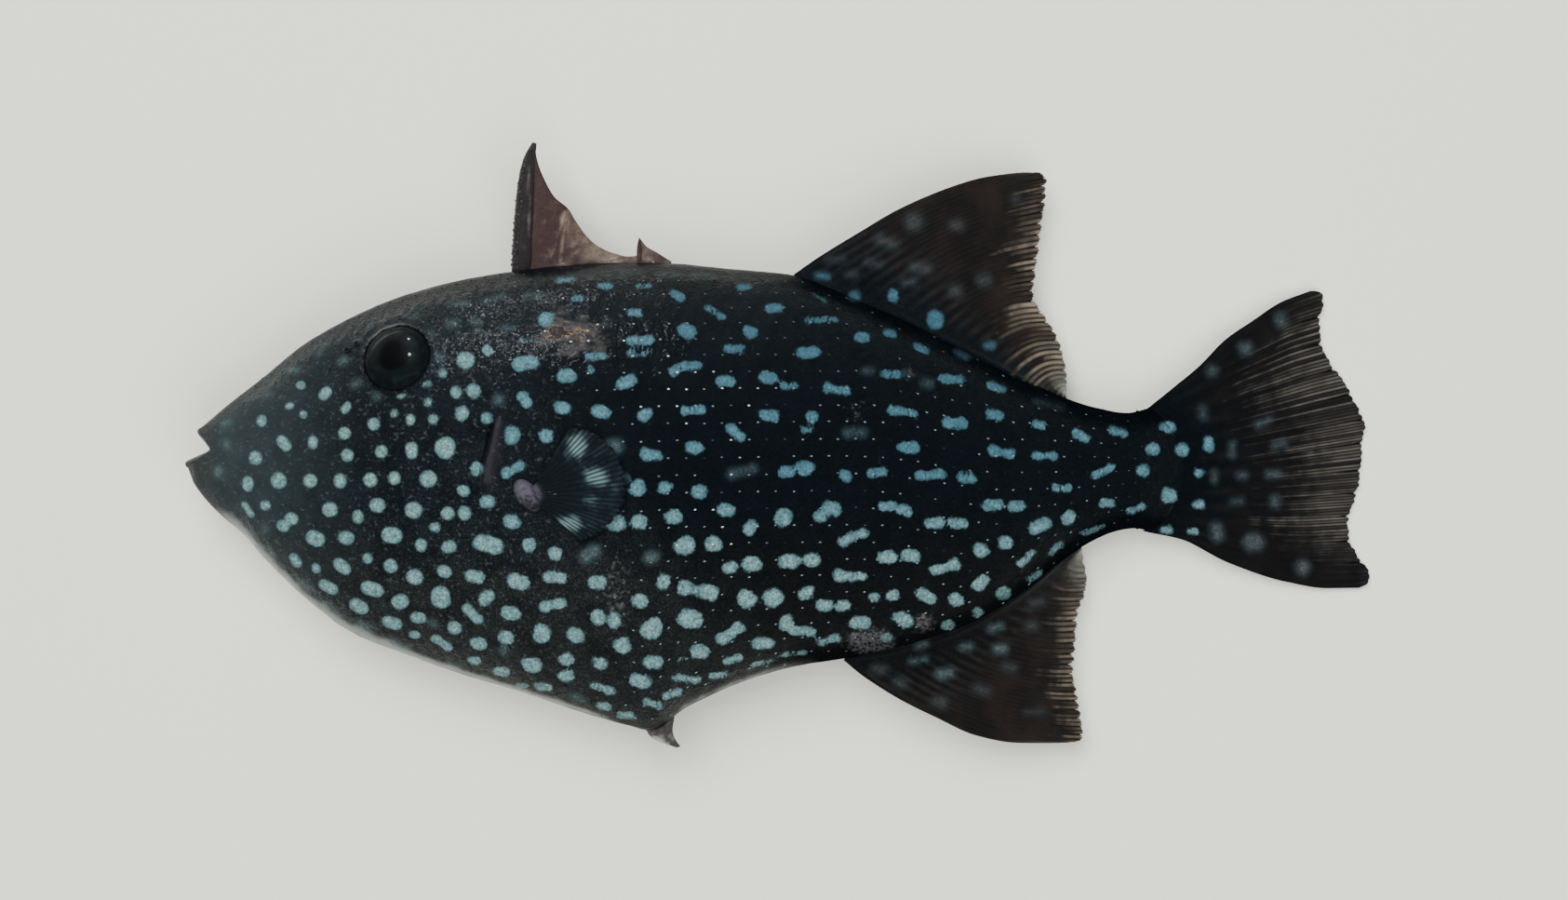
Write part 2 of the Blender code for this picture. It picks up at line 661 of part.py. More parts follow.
def spine(line, across, deep, rough):
    """A tapering spine from the back's ridge along line, with tubercles down its front where it is rough."""
    bottom = Vector((line[0][0], smooth(DORSAL, line[0][0]) + GAP, smooth(MEDIAN, line[0][0])))
    count = 13 if rough else 5
    points, wide, thick = [], [], []
    middle = [(bottom.x, bottom.y)] + line[1:]
    for k in range(count):
        share = k / (count - 1)
        x, y = along(middle, share)
        taper = mix(1.0, 0.22, share**2.2)
        points.append(Vector((x, y, bottom.z)))
        wide.append(across * taper + rough * (k % 2))
        thick.append(deep * taper)
    bm = tube(points, wide, thick, [Vector((0, 0, 1))] * count, sides=8)
    for vert in bm.verts:
        floor_y = smooth(DORSAL, vert.co.x) + GAP
        if vert.co.y < bottom.y + 0.6:
            vert.co.y = floor_y
    return finish(bm, "spine", PALETTE_MATERIALS["spine"])


def pelvic_spine():
    """The short, rough stub of the pelvis at the lowest point of the belly."""
    first_x, last_x = -37.0, -29.2
    tip = [(0.0, -29.9, -81.2), (0.5, -28.8, -81.5), (1.0, -27.7, -81.2)]

    def place(u, v):
        base_x = mix(first_x, last_x, u)
        edge_x, edge_y = keyed(tip, u)
        pull = v**0.8
        x = mix(base_x, edge_x, v) - 1.2 * math.sin(math.pi * v)
        return Vector((x, mix(smooth(VENTRAL, base_x) - GAP, edge_y, pull), smooth(MEDIAN, x)))

    def half(u, v):
        scutes = 0.25 * (round(6 * u) % 2) if 0 < u < 1 else 0.0
        return mix(1.15, 0.35, v) + scutes * (1 - v)

    return finish(plate(6, 5, place, half), "pelvic_spine", PALETTE_MATERIALS["spine"])


# Pectoral fins: a fleshy lobe let into the flank, and a fan of rays


def left_lobe(spare=0.0):
    frame = flank_frame(*LOBE_AT) @ Matrix.Rotation(math.radians(LOBE_TURN), 4, "Z")
    return ellipsoid([r + spare for r in LOBE_RADII], frame, steps=16, sunk=0.6)


def right_lobe(spare=0.0):
    place = Matrix.Translation((*LOBE_AT, RIGHT_LOBE_HEIGHT))
    frame = place @ Matrix.Rotation(math.radians(LOBE_TURN), 4, "Z")
    return ellipsoid([r + spare for r in RIGHT_LOBE_RADII], frame, steps=16)


def fan_point(turn, reach, height):
    """A point of a pectoral fan at reach from the lobe, turn up from straight back."""
    x = LOBE_AT[0] + reach * math.cos(math.radians(turn))
    y = LOBE_AT[1] + reach * math.sin(math.radians(turn))
    return Vector((x, y, height(x, y, reach)))


def fan(low, high, height, root=1.6, margin=0.0):
    """Places points of a pectoral fan between the turns low and high."""

    def place(u, v):
        turn = mix(low, high, u)
        full = smooth(PECTORAL_REACH, turn) + margin
        is_ray = abs(u * PECTORAL_RAYS % 1.0 - 0.5) < 0.01
        reach = mix(root, full + (0.5 if is_ray and v == 1.0 else 0.0), v)
        return fan_point(turn, reach, height)

    return place


def pectoral_fins():
    def left_height(x, y, reach):
        return flank_height(x, y) + 1.1 + 0.075 * reach

    def right_height(x, y, reach):
        return RIGHT_FAN_HEIGHT

    def half(u, v):
        return ray_half(u, v, PECTORAL_RAYS, 0.7, 0.5, 0.3)

    for name, lobe, low, high, height in (
        ("pectoral_fin_left", left_lobe(), -40.0, 58.0, left_height),
        ("pectoral_fin_right", right_lobe(), -22.0, 30.0, right_height),
    ):
        rays = plate(2 * PECTORAL_RAYS, 5, fan(low, high, height), half)
        obj = finish(rays, name, PALETTE_MATERIALS["fin"])
        combine(obj, [finish(lobe, "lobe", PALETTE_MATERIALS["fin"])], "UNION")


def right_recess():
    """The dent that the folded right fin presses into the flank it lies under."""
    low_z = -2.0
    middle = (RIGHT_RECESS_TOP + low_z) / 2
    place = fan(-26.0, 34.0, lambda x, y, reach: middle, root=1.0, margin=1.4)
    return plate(12, 3, place, lambda u, v: RIGHT_RECESS_TOP - middle)


for old in list(bpy.data.objects):
    bpy.data.objects.remove(old)
PALETTE_MATERIALS = {}
for label, (colour, roughness) in PALETTE.items():
    finish_of = bpy.data.materials.new(label)
    finish_of.use_nodes = True
    shader = finish_of.node_tree.nodes["Principled BSDF"]
    shader.inputs["Base Color"].default_value = (*colour, 1.0)
    shader.inputs["Roughness"].default_value = roughness
    PALETTE_MATERIALS[label] = finish_of

head()
eyes()
trunk()
tail_stalk()
first_dorsal_fin()
long_fin("second_dorsal_fin", DORSAL_RAYS, DORSAL, 1, DORSAL_BASE, DORSAL_LEAD, DORSAL_REAR)
long_fin("anal_fin", ANAL_RAYS, VENTRAL, -1, ANAL_BASE, ANAL_LEAD, ANAL_REAR)
caudal_fin()
pelvic_spine()
pectoral_fins()
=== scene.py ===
"""Dresses the rough triggerfish in its wet spotted skin, scales, rayed fins and eyes, on a pale board.

Shapes are worked out in millimetres in the frame of the solids, and become metres where a mesh is made.
The head points to -X, the back to +Y, and the left flank faces up, +Z. The fish lies on z = 0.
"""

import logging
import math
from dataclasses import dataclass, field
from enum import Enum

import bpy
import numpy as np
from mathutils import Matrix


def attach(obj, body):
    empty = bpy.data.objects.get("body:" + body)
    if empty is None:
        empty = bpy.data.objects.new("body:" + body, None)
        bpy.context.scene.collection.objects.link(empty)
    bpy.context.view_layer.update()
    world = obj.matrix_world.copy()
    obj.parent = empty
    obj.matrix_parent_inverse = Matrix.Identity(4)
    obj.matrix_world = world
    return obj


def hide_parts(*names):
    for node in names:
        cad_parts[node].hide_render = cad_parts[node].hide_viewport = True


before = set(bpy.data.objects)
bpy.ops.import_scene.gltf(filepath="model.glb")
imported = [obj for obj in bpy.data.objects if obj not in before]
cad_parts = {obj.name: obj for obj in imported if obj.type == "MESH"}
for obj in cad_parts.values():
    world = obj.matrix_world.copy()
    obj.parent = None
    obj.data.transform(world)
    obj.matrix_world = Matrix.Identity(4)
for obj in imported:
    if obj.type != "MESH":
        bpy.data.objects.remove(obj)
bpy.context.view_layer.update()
MM = 0.001
LOG = logging.getLogger("triggerfish")
Array = np.ndarray
Socket = bpy.types.NodeSocket
Material = bpy.types.Material
Object = bpy.types.Object
Pair = tuple[float, float]
Triple = tuple[float, float, float]
Blot = tuple[float, float, float, float, float]
Line = tuple[Pair, ...]
Keyed = tuple[tuple[float, ...], ...]
Paint = dict[str, Array]
UP = np.array([0, 0, 1])


class Side(Enum):
    """The two flanks: the left one faces up and the right one lies on the board."""

    LEFT = 1
    RIGHT = -1


@dataclass(frozen=True)
class Curve:
    """A line through (x, value) points that doesn't overshoot between them."""

    points: Line

    def at(self, x: Array) -> Array:
        """The value at each x.

        Args:
            x: Places to read, held to the first and last point.

        Returns:
            One value for each place.
        """
        xs, ys = np.array(self.points, float).T
        secant = np.diff(ys) / np.diff(xs)
        before, after = secant[:-1], secant[1:]
        turns = before * after <= 0
        middle = 2 * before * after / np.where(turns, 1, before + after)
        slope = np.concatenate([secant[:1], np.where(turns, 0, middle), secant[-1:]])
        x = np.clip(np.asarray(x, float), xs[0], xs[-1])
        i = np.clip(np.searchsorted(xs, x, side="right") - 1, 0, len(xs) - 2)
        wide = xs[i + 1] - xs[i]
        t = (x - xs[i]) / wide
        start = ys[i] * (1 + 2 * t) * (1 - t) ** 2 + slope[i] * wide * t * (1 - t) ** 2
        end = ys[i + 1] * t * t * (3 - 2 * t) + slope[i + 1] * wide * t * t * (t - 1)
        return start + end


def mix(a: float | Array, b: float | Array, share: float | Array) -> float | Array:
    """The value that lies share of the way from a to b."""
    return a + (b - a) * share


def ease(value: Array, low: float, high: float) -> Array:
    """Rises smoothly from 0 at low to 1 at high; falls instead where low is the larger."""
    t = np.clip((value - low) / (high - low), 0, 1)
    return t * t * (3 - 2 * t)


def hill(distance: Array, width: float) -> Array:
    """A round bump of height 1 at distance 0 that has faded out at about twice width."""
    return np.exp(-((distance / width) ** 2))


def humps(count: float, share: Array, sharpness: float | Array = 1) -> Array:
    """A row of count humps over the shares 0 to 1, each 1 at its top and 0 where two meet."""
    return np.abs(np.sin(math.pi * count * share)) ** sharpness


def blots(x: Array, y: Array, rows: tuple[Blot, ...], spread: float = 1) -> Array:
    """Soft blots of (x, y, half length, half height, strength), one first axis for all."""
    return np.stack([s * hill(np.hypot((x - px) / w, (y - py) / t), spread) for px, py, w, t, s in rows])


def from_ends(share: Array) -> Array:
    """How far shares of a line lie from its nearer end."""
    return np.minimum(share, 1 - share)


def near_stretch(x: Array, y: Array, a: Pair | Array, b: Pair | Array) -> tuple[Array, Array]:
    """Measures places against the straight stretch from a to b.

    Args:
        x: Places along the fish.
        y: Places across it.
        a: Where the stretch starts.
        b: Where it ends.

    Returns:
        The distance from the stretch, and the share of its length at the nearest point.
    """
    dx, dy = b[0] - a[0], b[1] - a[1]
    share = np.clip(((x - a[0]) * dx + (y - a[1]) * dy) / max(dx * dx + dy * dy, 1e-6), 0, 1)
    return np.hypot(x - a[0] - share * dx, y - a[1] - share * dy), share


def near_line(x: Array, y: Array, line: Line) -> tuple[Array, Array]:
    """Measures places against a short line of points.

    Args:
        x: Places along the fish.
        y: Places across it.
        line: The line's points.

    Returns:
        The distance from the line, and the share of its length at the nearest point.
    """
    best, share = np.full(np.shape(x), 1e9), np.zeros(np.shape(x))
    for n, (a, b) in enumerate(zip(line, line[1:])):
        away, t = near_stretch(x, y, a, b)
        share = np.where(away < best, (n + t) / (len(line) - 1), share)
        best = np.minimum(best, away)
    return best, share


def through(line: Line, share: Array) -> Array:
    """Points of a line, x and y last, at shares of its numbered points."""
    at = share * (len(line) - 1)
    return keyed(tuple((n, *p) for n, p in enumerate(line)), at)


def keyed(line: Keyed, share: Array) -> Array:
    """The values that a line of (share, value, value, ...) has at shares, one last axis for all."""
    columns = range(1, len(line[0]))
    return np.stack([Curve(tuple((p[0], p[axis]) for p in line)).at(share) for axis in columns], -1)


def ripple(x: Array, y: Array, size: float, seed: int) -> Array:
    """A smooth irregular field between about -1 and 1.

    Args:
        x: Places along the fish.
        y: Places across it.
        size: Typical distance between two crests.
        seed: Picks the field.

    Returns:
        The field's value at each place.
    """
    rng = np.random.default_rng(seed)
    total = np.zeros(np.shape(x))
    waves = 7
    for _ in range(waves):
        turn, phase = rng.uniform(0, 2 * math.pi, 2)
        rate = 2 * math.pi / (size * rng.uniform(0.7, 1.5))
        total += np.sin(rate * (x * math.cos(turn) + y * math.sin(turn)) + phase)
    return total / (0.6 * waves)


@dataclass(frozen=True)
class Body:
    """The shape of the head, trunk and tail stalk, without eyes and fins."""

    back: Curve = Curve((
        (-156.6, 4.4), (-153.6, 7.1), (-150.6, 9.8), (-138.1, 19.5), (-128.1, 27.5), (-115.6, 34.5),
        (-100.6, 40.7), (-85.6, 44.5), (-73.1, 46.5), (-60.6, 48), (-48.1, 49), (-30.6, 48.6),
        (-13.1, 47.3), (1.9, 45.6), (14.4, 41.7), (26.9, 36.3), (39.4, 30.3), (52.1, 24), (64.8, 17.6),
        (77.5, 12.3), (85.2, 10.1), (93, 8.8), (100.7, 10.6),
    ))
    belly: Curve = Curve((
        (-160.9, -4.8), (-157.8, -11.4), (-151, -19.2), (-145.1, -24), (-138.1, -31.8), (-128.1, -41.8),
        (-115.6, -50.5), (-100.6, -56.7), (-85.6, -61.7), (-70.6, -66.5), (-55.6, -71.2), (-41, -75.8),
        (-36.5, -76.9), (-33.5, -76.4), (-30.5, -74), (-27, -71), (-20.6, -67.6), (-10.6, -63.6),
        (1.9, -59.8), (15.6, -57.6), (29.4, -55.4), (42.7, -51.8), (52.1, -47.9), (59.7, -43.4),
        (67.8, -37.6), (75, -31.6), (81.4, -27.4), (90.4, -23.5), (95.6, -22.8), (100.7, -24.3),
    ))
    half_width: Curve = Curve((
        (-160.9, 2.6), (-158, 4.9), (-155, 6.1), (-152, 7.2), (-146, 9.2), (-138, 11.6), (-126, 14.8),
        (-112, 18.2), (-98, 21), (-84, 22.9), (-70, 23.6), (-50, 23.6), (-30, 22.9), (-10, 21.2),
        (10, 18.7), (30, 15.6), (50, 12.2), (70, 9.1), (85, 7), (97, 5.6), (110, 4.2),
    ))
    widest: Curve = Curve((
        (-160.9, -3.4), (-153.6, -1.3), (-140, -3), (-70, -4), (20, -3), (60, -7.5), (97, -6.9),
    ))
    ridge: Curve = Curve((
        (-160.9, 0.5), (-150, 1), (-120, 1.6), (-73, 1.9), (-20, 1.7), (110, 1.4),
    ))
    middle: Curve = Curve((
        (-160.9, 22), (10, 22), (40, 20.3), (70, 15.8), (96, 10.6), (108, 8.2), (130, 4.4), (150, 1.9),
        (162, 1.1),
    ))
    back_sharpness: float = 1.2
    belly_sharpness: float = 1.35
    stalk_thins_x: float = 96.0
    stalk_end_rim_x: float = 99.5
    stalk_end_middle_x: float = 109.6
    stalk_end_half: Pair = (0.8, 1.9)

    def stalk_end(self, angle: Array) -> Array:
        """Where the stalk ends and the caudal fin begins, at each section angle."""
        return mix(self.stalk_end_rim_x, self.stalk_end_middle_x, np.cos(angle) ** 2)

    def at(self, x: Array, angle: Array, side: Array | float) -> Array:
        """Points of the skin before any fold or scale.

        Args:
            x: Places along the fish.
            angle: From -90 degrees at the belly to 90 at the back, in radians.
            side: 1 on the left flank and -1 on the right.

        Returns:
            The points, with x, y and z last.
        """
        x, angle, side = np.broadcast_arrays(np.asarray(x, float), angle, np.asarray(side, float))
        rise, out = np.sin(angle), np.maximum(0, np.cos(angle))
        level = self.widest.at(x)
        reach = np.where(rise >= 0, self.back.at(x) - level, level - self.belly.at(x))
        swell = np.where(rise >= 0, out**self.back_sharpness, out**self.belly_sharpness)
        ridge = self.ridge.at(x)
        half = ridge + (self.half_width.at(x) - ridge) * swell
        share = np.clip((x - self.stalk_thins_x) / (self.stalk_end(angle) - self.stalk_thins_x), 0, 1)
        half = mix(half, mix(*self.stalk_end_half, out**2), share**1.3)
        z = self.middle.at(x) + side * half
        return np.stack([x, level + reach * rise, np.maximum(z, 0)], -1)

    def angle_at(self, x: Array, y: Array) -> Array:
        """Turns a place seen from above into a section angle.

        Args:
            x: Places along the fish.
            y: Places across it.

        Returns:
            The section angle at which the skin passes over each place.
        """
        level = self.widest.at(x)
        reach = np.where(y >= level, self.back.at(x) - level, level - self.belly.at(x))
        return np.arcsin(np.clip((y - level) / reach, -1, 1))

    def normal(self, x: Array, angle: Array, side: Array | float) -> Array:
        """The unit vector out of the skin.

        Args:
            x: Places along the fish.
            angle: The section angle at each.
            side: 1 on the left flank and -1 on the right.

        Returns:
            One unit vector for each place.
        """
        tail = self.at(np.asarray(x) + 0.5, angle, side) - self.at(np.asarray(x) - 0.5, angle, side)
        step = 0.01
        inner = np.clip(angle, -math.pi / 2 + step, math.pi / 2 - step)
        back = self.at(x, inner + step, side) - self.at(x, inner - step, side)
        out = np.cross(tail, back) * np.asarray(side, float)[..., None]
        return out / np.maximum(np.linalg.norm(out, axis=-1, keepdims=True), 1e-9)

    def frame_over(self, x: float, y: float, side: Side) -> tuple[Array, Array]:
        """Finds a place on the skin and how the skin lies there.

        Args:
            x: Its place along the fish.
            y: Its place across it.
            side: Its flank.

        Returns:
            The point, and its axes: towards the tail, towards the back, and out.
        """
        angle = self.angle_at(np.array(x), np.array(y))
        sign = float(side.value)
        point = self.at(x, angle, sign)
        out = self.normal(np.array(x), angle, np.array(sign))
        tail = np.array([1, 0, 0]) - out[0] * out
        tail /= np.linalg.norm(tail)
        return point, np.stack([tail, np.cross(out, tail) * sign, out])


BODY = Body()


@dataclass
class Girth:
    """Distances round the body, counted from its widest level, so that patterns keep their size there."""

    xs: Array = field(default_factory=lambda: np.linspace(-161, 112, 274))
    angles: Array = field(default_factory=lambda: np.linspace(-math.pi / 2, math.pi / 2, 181))

    def __post_init__(self) -> None:
        """Measures the left flank along each ring."""
        points = BODY.at(self.xs[:, None], self.angles[None, :], 1)
        steps = np.linalg.norm(np.diff(points, axis=1), axis=-1)
        self.arc = np.concatenate([np.zeros((len(self.xs), 1)), np.cumsum(steps, axis=1)], axis=1)
        self.arc -= self.arc[:, [len(self.angles) // 2]]

    def at(self, x: Array, angle: Array) -> Array:
        """The distance round the body at places on the skin.

        Args:
            x: Places along the fish.
            angle: The section angle at each.

        Returns:
            The distances, negative below the widest level.
        """
        i, j = (
            np.clip((place - line[0]) / (line[1] - line[0]), 0, len(line) - 1.001)
            for place, line in ((x, self.xs), (angle, self.angles))
        )
        i0, j0 = i.astype(int), j.astype(int)
        fi, fj = i - i0, j - j0
        low = mix(self.arc[i0, j0], self.arc[i0, j0 + 1], fj)
        high = mix(self.arc[i0 + 1, j0], self.arc[i0 + 1, j0 + 1], fj)
        return mix(low, high, fi)

    def angle(self, x: float, arc: Array) -> Array:
        """The section angles at distances arc round the ring at x."""
        ring = self.at(np.full(len(self.angles), x), self.angles)
        return np.interp(arc, ring, self.angles)


GIRTH = Girth()


# Meshes


@dataclass
class Shell:
    """Points and faces of one or more closed surfaces, with values painted on the points."""

    points: Array
    quads: Array
    triangles: Array = field(default_factory=lambda: np.zeros((0, 3), int))
    paint: Paint = field(default_factory=dict)

    def outward(self) -> "Shell":
        """Turns the faces so that they look out.

        Returns:
            This shell.
        """
        p, q = self.points, self.quads
        faces = np.concatenate([q[:, :3], self.triangles, q[:, [0, 2, 3]]])
        volume = np.einsum("ij,ij->i", p[faces[:, 0]], np.cross(p[faces[:, 1]], p[faces[:, 2]])).sum()
        if volume < 0:
            self.quads = q[:, ::-1]
            self.triangles = self.triangles[:, ::-1]
        return self


def grid_faces(index: Array) -> Array:
    """Four-sided faces over a grid of point numbers."""
    return np.stack([index[:-1, :-1], index[1:, :-1], index[1:, 1:], index[:-1, 1:]], -1).reshape(-1, 4)


def grid_rim(index: Array) -> Array:
    """The point numbers round the edge of a grid."""
    return np.concatenate([index[:-1, 0], index[-1, :-1], index[:0:-1, -1], index[0, :0:-1]])


def ring_faces(rings: int, sides: int, is_closed: bool = False) -> Array:
    """Four-sided faces from each ring of points to the next.

    Args:
        rings: How many rings there are.
        sides: Points in each.
        is_closed: Whether the last ring joins the first.

    Returns:
        The faces.
    """
    index = np.arange(rings * sides).reshape(rings, sides)
    aside = np.roll(index, -1, axis=1)
    quads = np.stack([index, aside, np.roll(aside, -1, axis=0), np.roll(index, -1, axis=0)], -1)
    return quads[: None if is_closed else -1].reshape(-1, 4)


def joined(shells: list[Shell]) -> Shell:
    """Joins shells into one, with 0 for any value that one of them isn't painted with.

    Args:
        shells: The shells.

    Returns:
        One shell with all their points, faces and paint.
    """
    names = sorted({name for shell in shells for name in shell.paint})
    starts = np.cumsum([0] + [len(shell.points) for shell in shells])
    return Shell(
        np.concatenate([shell.points for shell in shells]),
        np.concatenate([shell.quads + start for shell, start in zip(shells, starts)]),
        np.concatenate([shell.triangles + start for shell, start in zip(shells, starts)]),
        {n: np.concatenate([s.paint.get(n, np.zeros(len(s.points))) for s in shells]) for n in names},
    )


def make_object(shell: Shell, name: str, finish: Material) -> Object:
    """Makes a smooth-shaded object of a shell.

    Args:
        shell: Points in millimetres, faces and painted values.
        name: The object's name.
        finish: Its material.

    Returns:
        The object, linked to the scene.
    """
    mesh = bpy.data.meshes.new(name)
    mesh.from_pydata((shell.points * MM).tolist(), [], shell.quads.tolist() + shell.triangles.tolist())
    mesh.validate()
    mesh.shade_smooth()
    for label, values in shell.paint.items():
        layer = mesh.attributes.new(label, "FLOAT", "POINT")
        layer.data.foreach_set("value", values.astype(np.float32))
    obj = bpy.data.objects.new(name, mesh)
    bpy.context.scene.collection.objects.link(obj)
    obj.data.materials.append(finish)
    return obj


def dressed(shell: Shell, name: str, finish: Material, slot: str, *nodes: str) -> Object:
    """Makes a piece that rides on the fish.

    Args:
        shell: Its shape.
        name: Its name.
        finish: Its material.
        slot: The slot of its finish; not used.
        nodes: The solid nodes that it takes the place of.

    Returns:
        The piece.
    """
    piece = make_object(shell, name, finish)
    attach(piece, "root")
    if nodes:
        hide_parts(*nodes)
    return piece


def sheet(middle: Array, half: Array, paint: Paint) -> Shell:
    """A thin closed sheet that lies flat, such as a fin.

    Args:
        middle: A grid of points midway between its two faces.
        half: Half its thickness at each point.
        paint: Values for each grid point, given to both faces.

    Returns:
        The closed sheet.
    """
    index = np.arange(half.size).reshape(half.shape)
    offset = half[..., None] * UP
    points = np.concatenate([(middle + offset).reshape(-1, 3), (middle - offset).reshape(-1, 3)])
    top, rim = grid_faces(index), grid_rim(index)
    after = np.roll(rim, -1)
    sides = np.stack([after, rim, rim + half.size, after + half.size], -1)
    quads = np.concatenate([top, top[:, ::-1] + half.size, sides])
    return Shell(points, quads, paint={k: np.tile(v.ravel(), 2) for k, v in paint.items()}).outward()


def tube(line: Array, across: Array, deep: Array, normals: Array, sides: int, is_ring: bool) -> Shell:
    """A closed tube along a line.

    Args:
        line: Its middle points.
        across: Half its width at each point.
        deep: Half its depth at each point, along that point's normal.
        normals: The normal at each point.
        sides: Points round it.
        is_ring: Whether its end joins its start.

    Returns:
        The closed tube.
    """
    count = len(line)
    ahead = np.roll(line, -1, axis=0)
    behind = np.roll(line, 1, axis=0)
    if not is_ring:
        ahead[-1], behind[0] = line[-1], line[0]
    aside = np.cross(ahead - behind, normals)
    aside /= np.linalg.norm(aside, axis=1, keepdims=True)
    turn = 2 * math.pi * np.arange(sides) / sides
    points = (
        line[:, None]
        + (across[:, None] * np.cos(turn))[..., None] * aside[:, None]
        + (deep[:, None] * np.sin(turn))[..., None] * normals[:, None]
    ).reshape(-1, 3)
    caps = []
    if not is_ring:
        for start, turned in ((0, -1), ((count - 1) * sides, 1)):
            points = np.concatenate([points, points[start : start + sides].mean(0)[None]])
            hub = np.full(sides, len(points) - 1)
            ring = start + np.arange(sides)
            caps.append(np.stack([ring, start + (np.arange(sides) + 1) % sides, hub], -1)[:, ::turned])
    triangles = np.concatenate(caps) if caps else np.zeros((0, 3), int)
    return Shell(points, ring_faces(count, sides, is_ring), triangles).outward()


def ball(radii: Triple, origin: Array, axes: Array, sunk: float, steps: int) -> Shell:
    """A squashed ball whose pole looks out of the skin.

    Args:
        radii: Its radii along the three axes.
        origin: A point of the skin.
        axes: Directions towards the tail, the back and out.
        sunk: How far its middle lies below the skin.
        steps: Points round it.

    Returns:
        The ball, with its distance from the pole painted on as "pole", 1 at its widest ring.
    """
    turn = 2 * math.pi * np.arange(steps) / steps
    fall = math.pi * np.arange(1, steps // 2) / (steps // 2)
    ring = np.stack([
        np.sin(fall)[:, None] * np.cos(turn),
        np.sin(fall)[:, None] * np.sin(turn),
        np.broadcast_to(np.cos(fall)[:, None], (len(fall), steps)),
    ], -1).reshape(-1, 3)
    local = np.concatenate([ring, [[0, 0, 1], [0, 0, -1]]])
    pole = np.where(local[:, 2] >= 0, np.hypot(local[:, 0], local[:, 1]), 1.5)
    points = origin + (local * radii - np.array([0, 0, sunk])) @ axes
    n = np.arange(steps)
    m = (n + 1) % steps
    last = (len(fall) - 1) * steps
    top, low = (np.full(steps, len(local) - k) for k in (2, 1))
    caps = np.concatenate([np.stack([m, n, top], -1), np.stack([last + n, last + m, low], -1)])
    return Shell(points, ring_faces(len(fall), steps), caps, {"pole": pole}).outward()


# Finishes


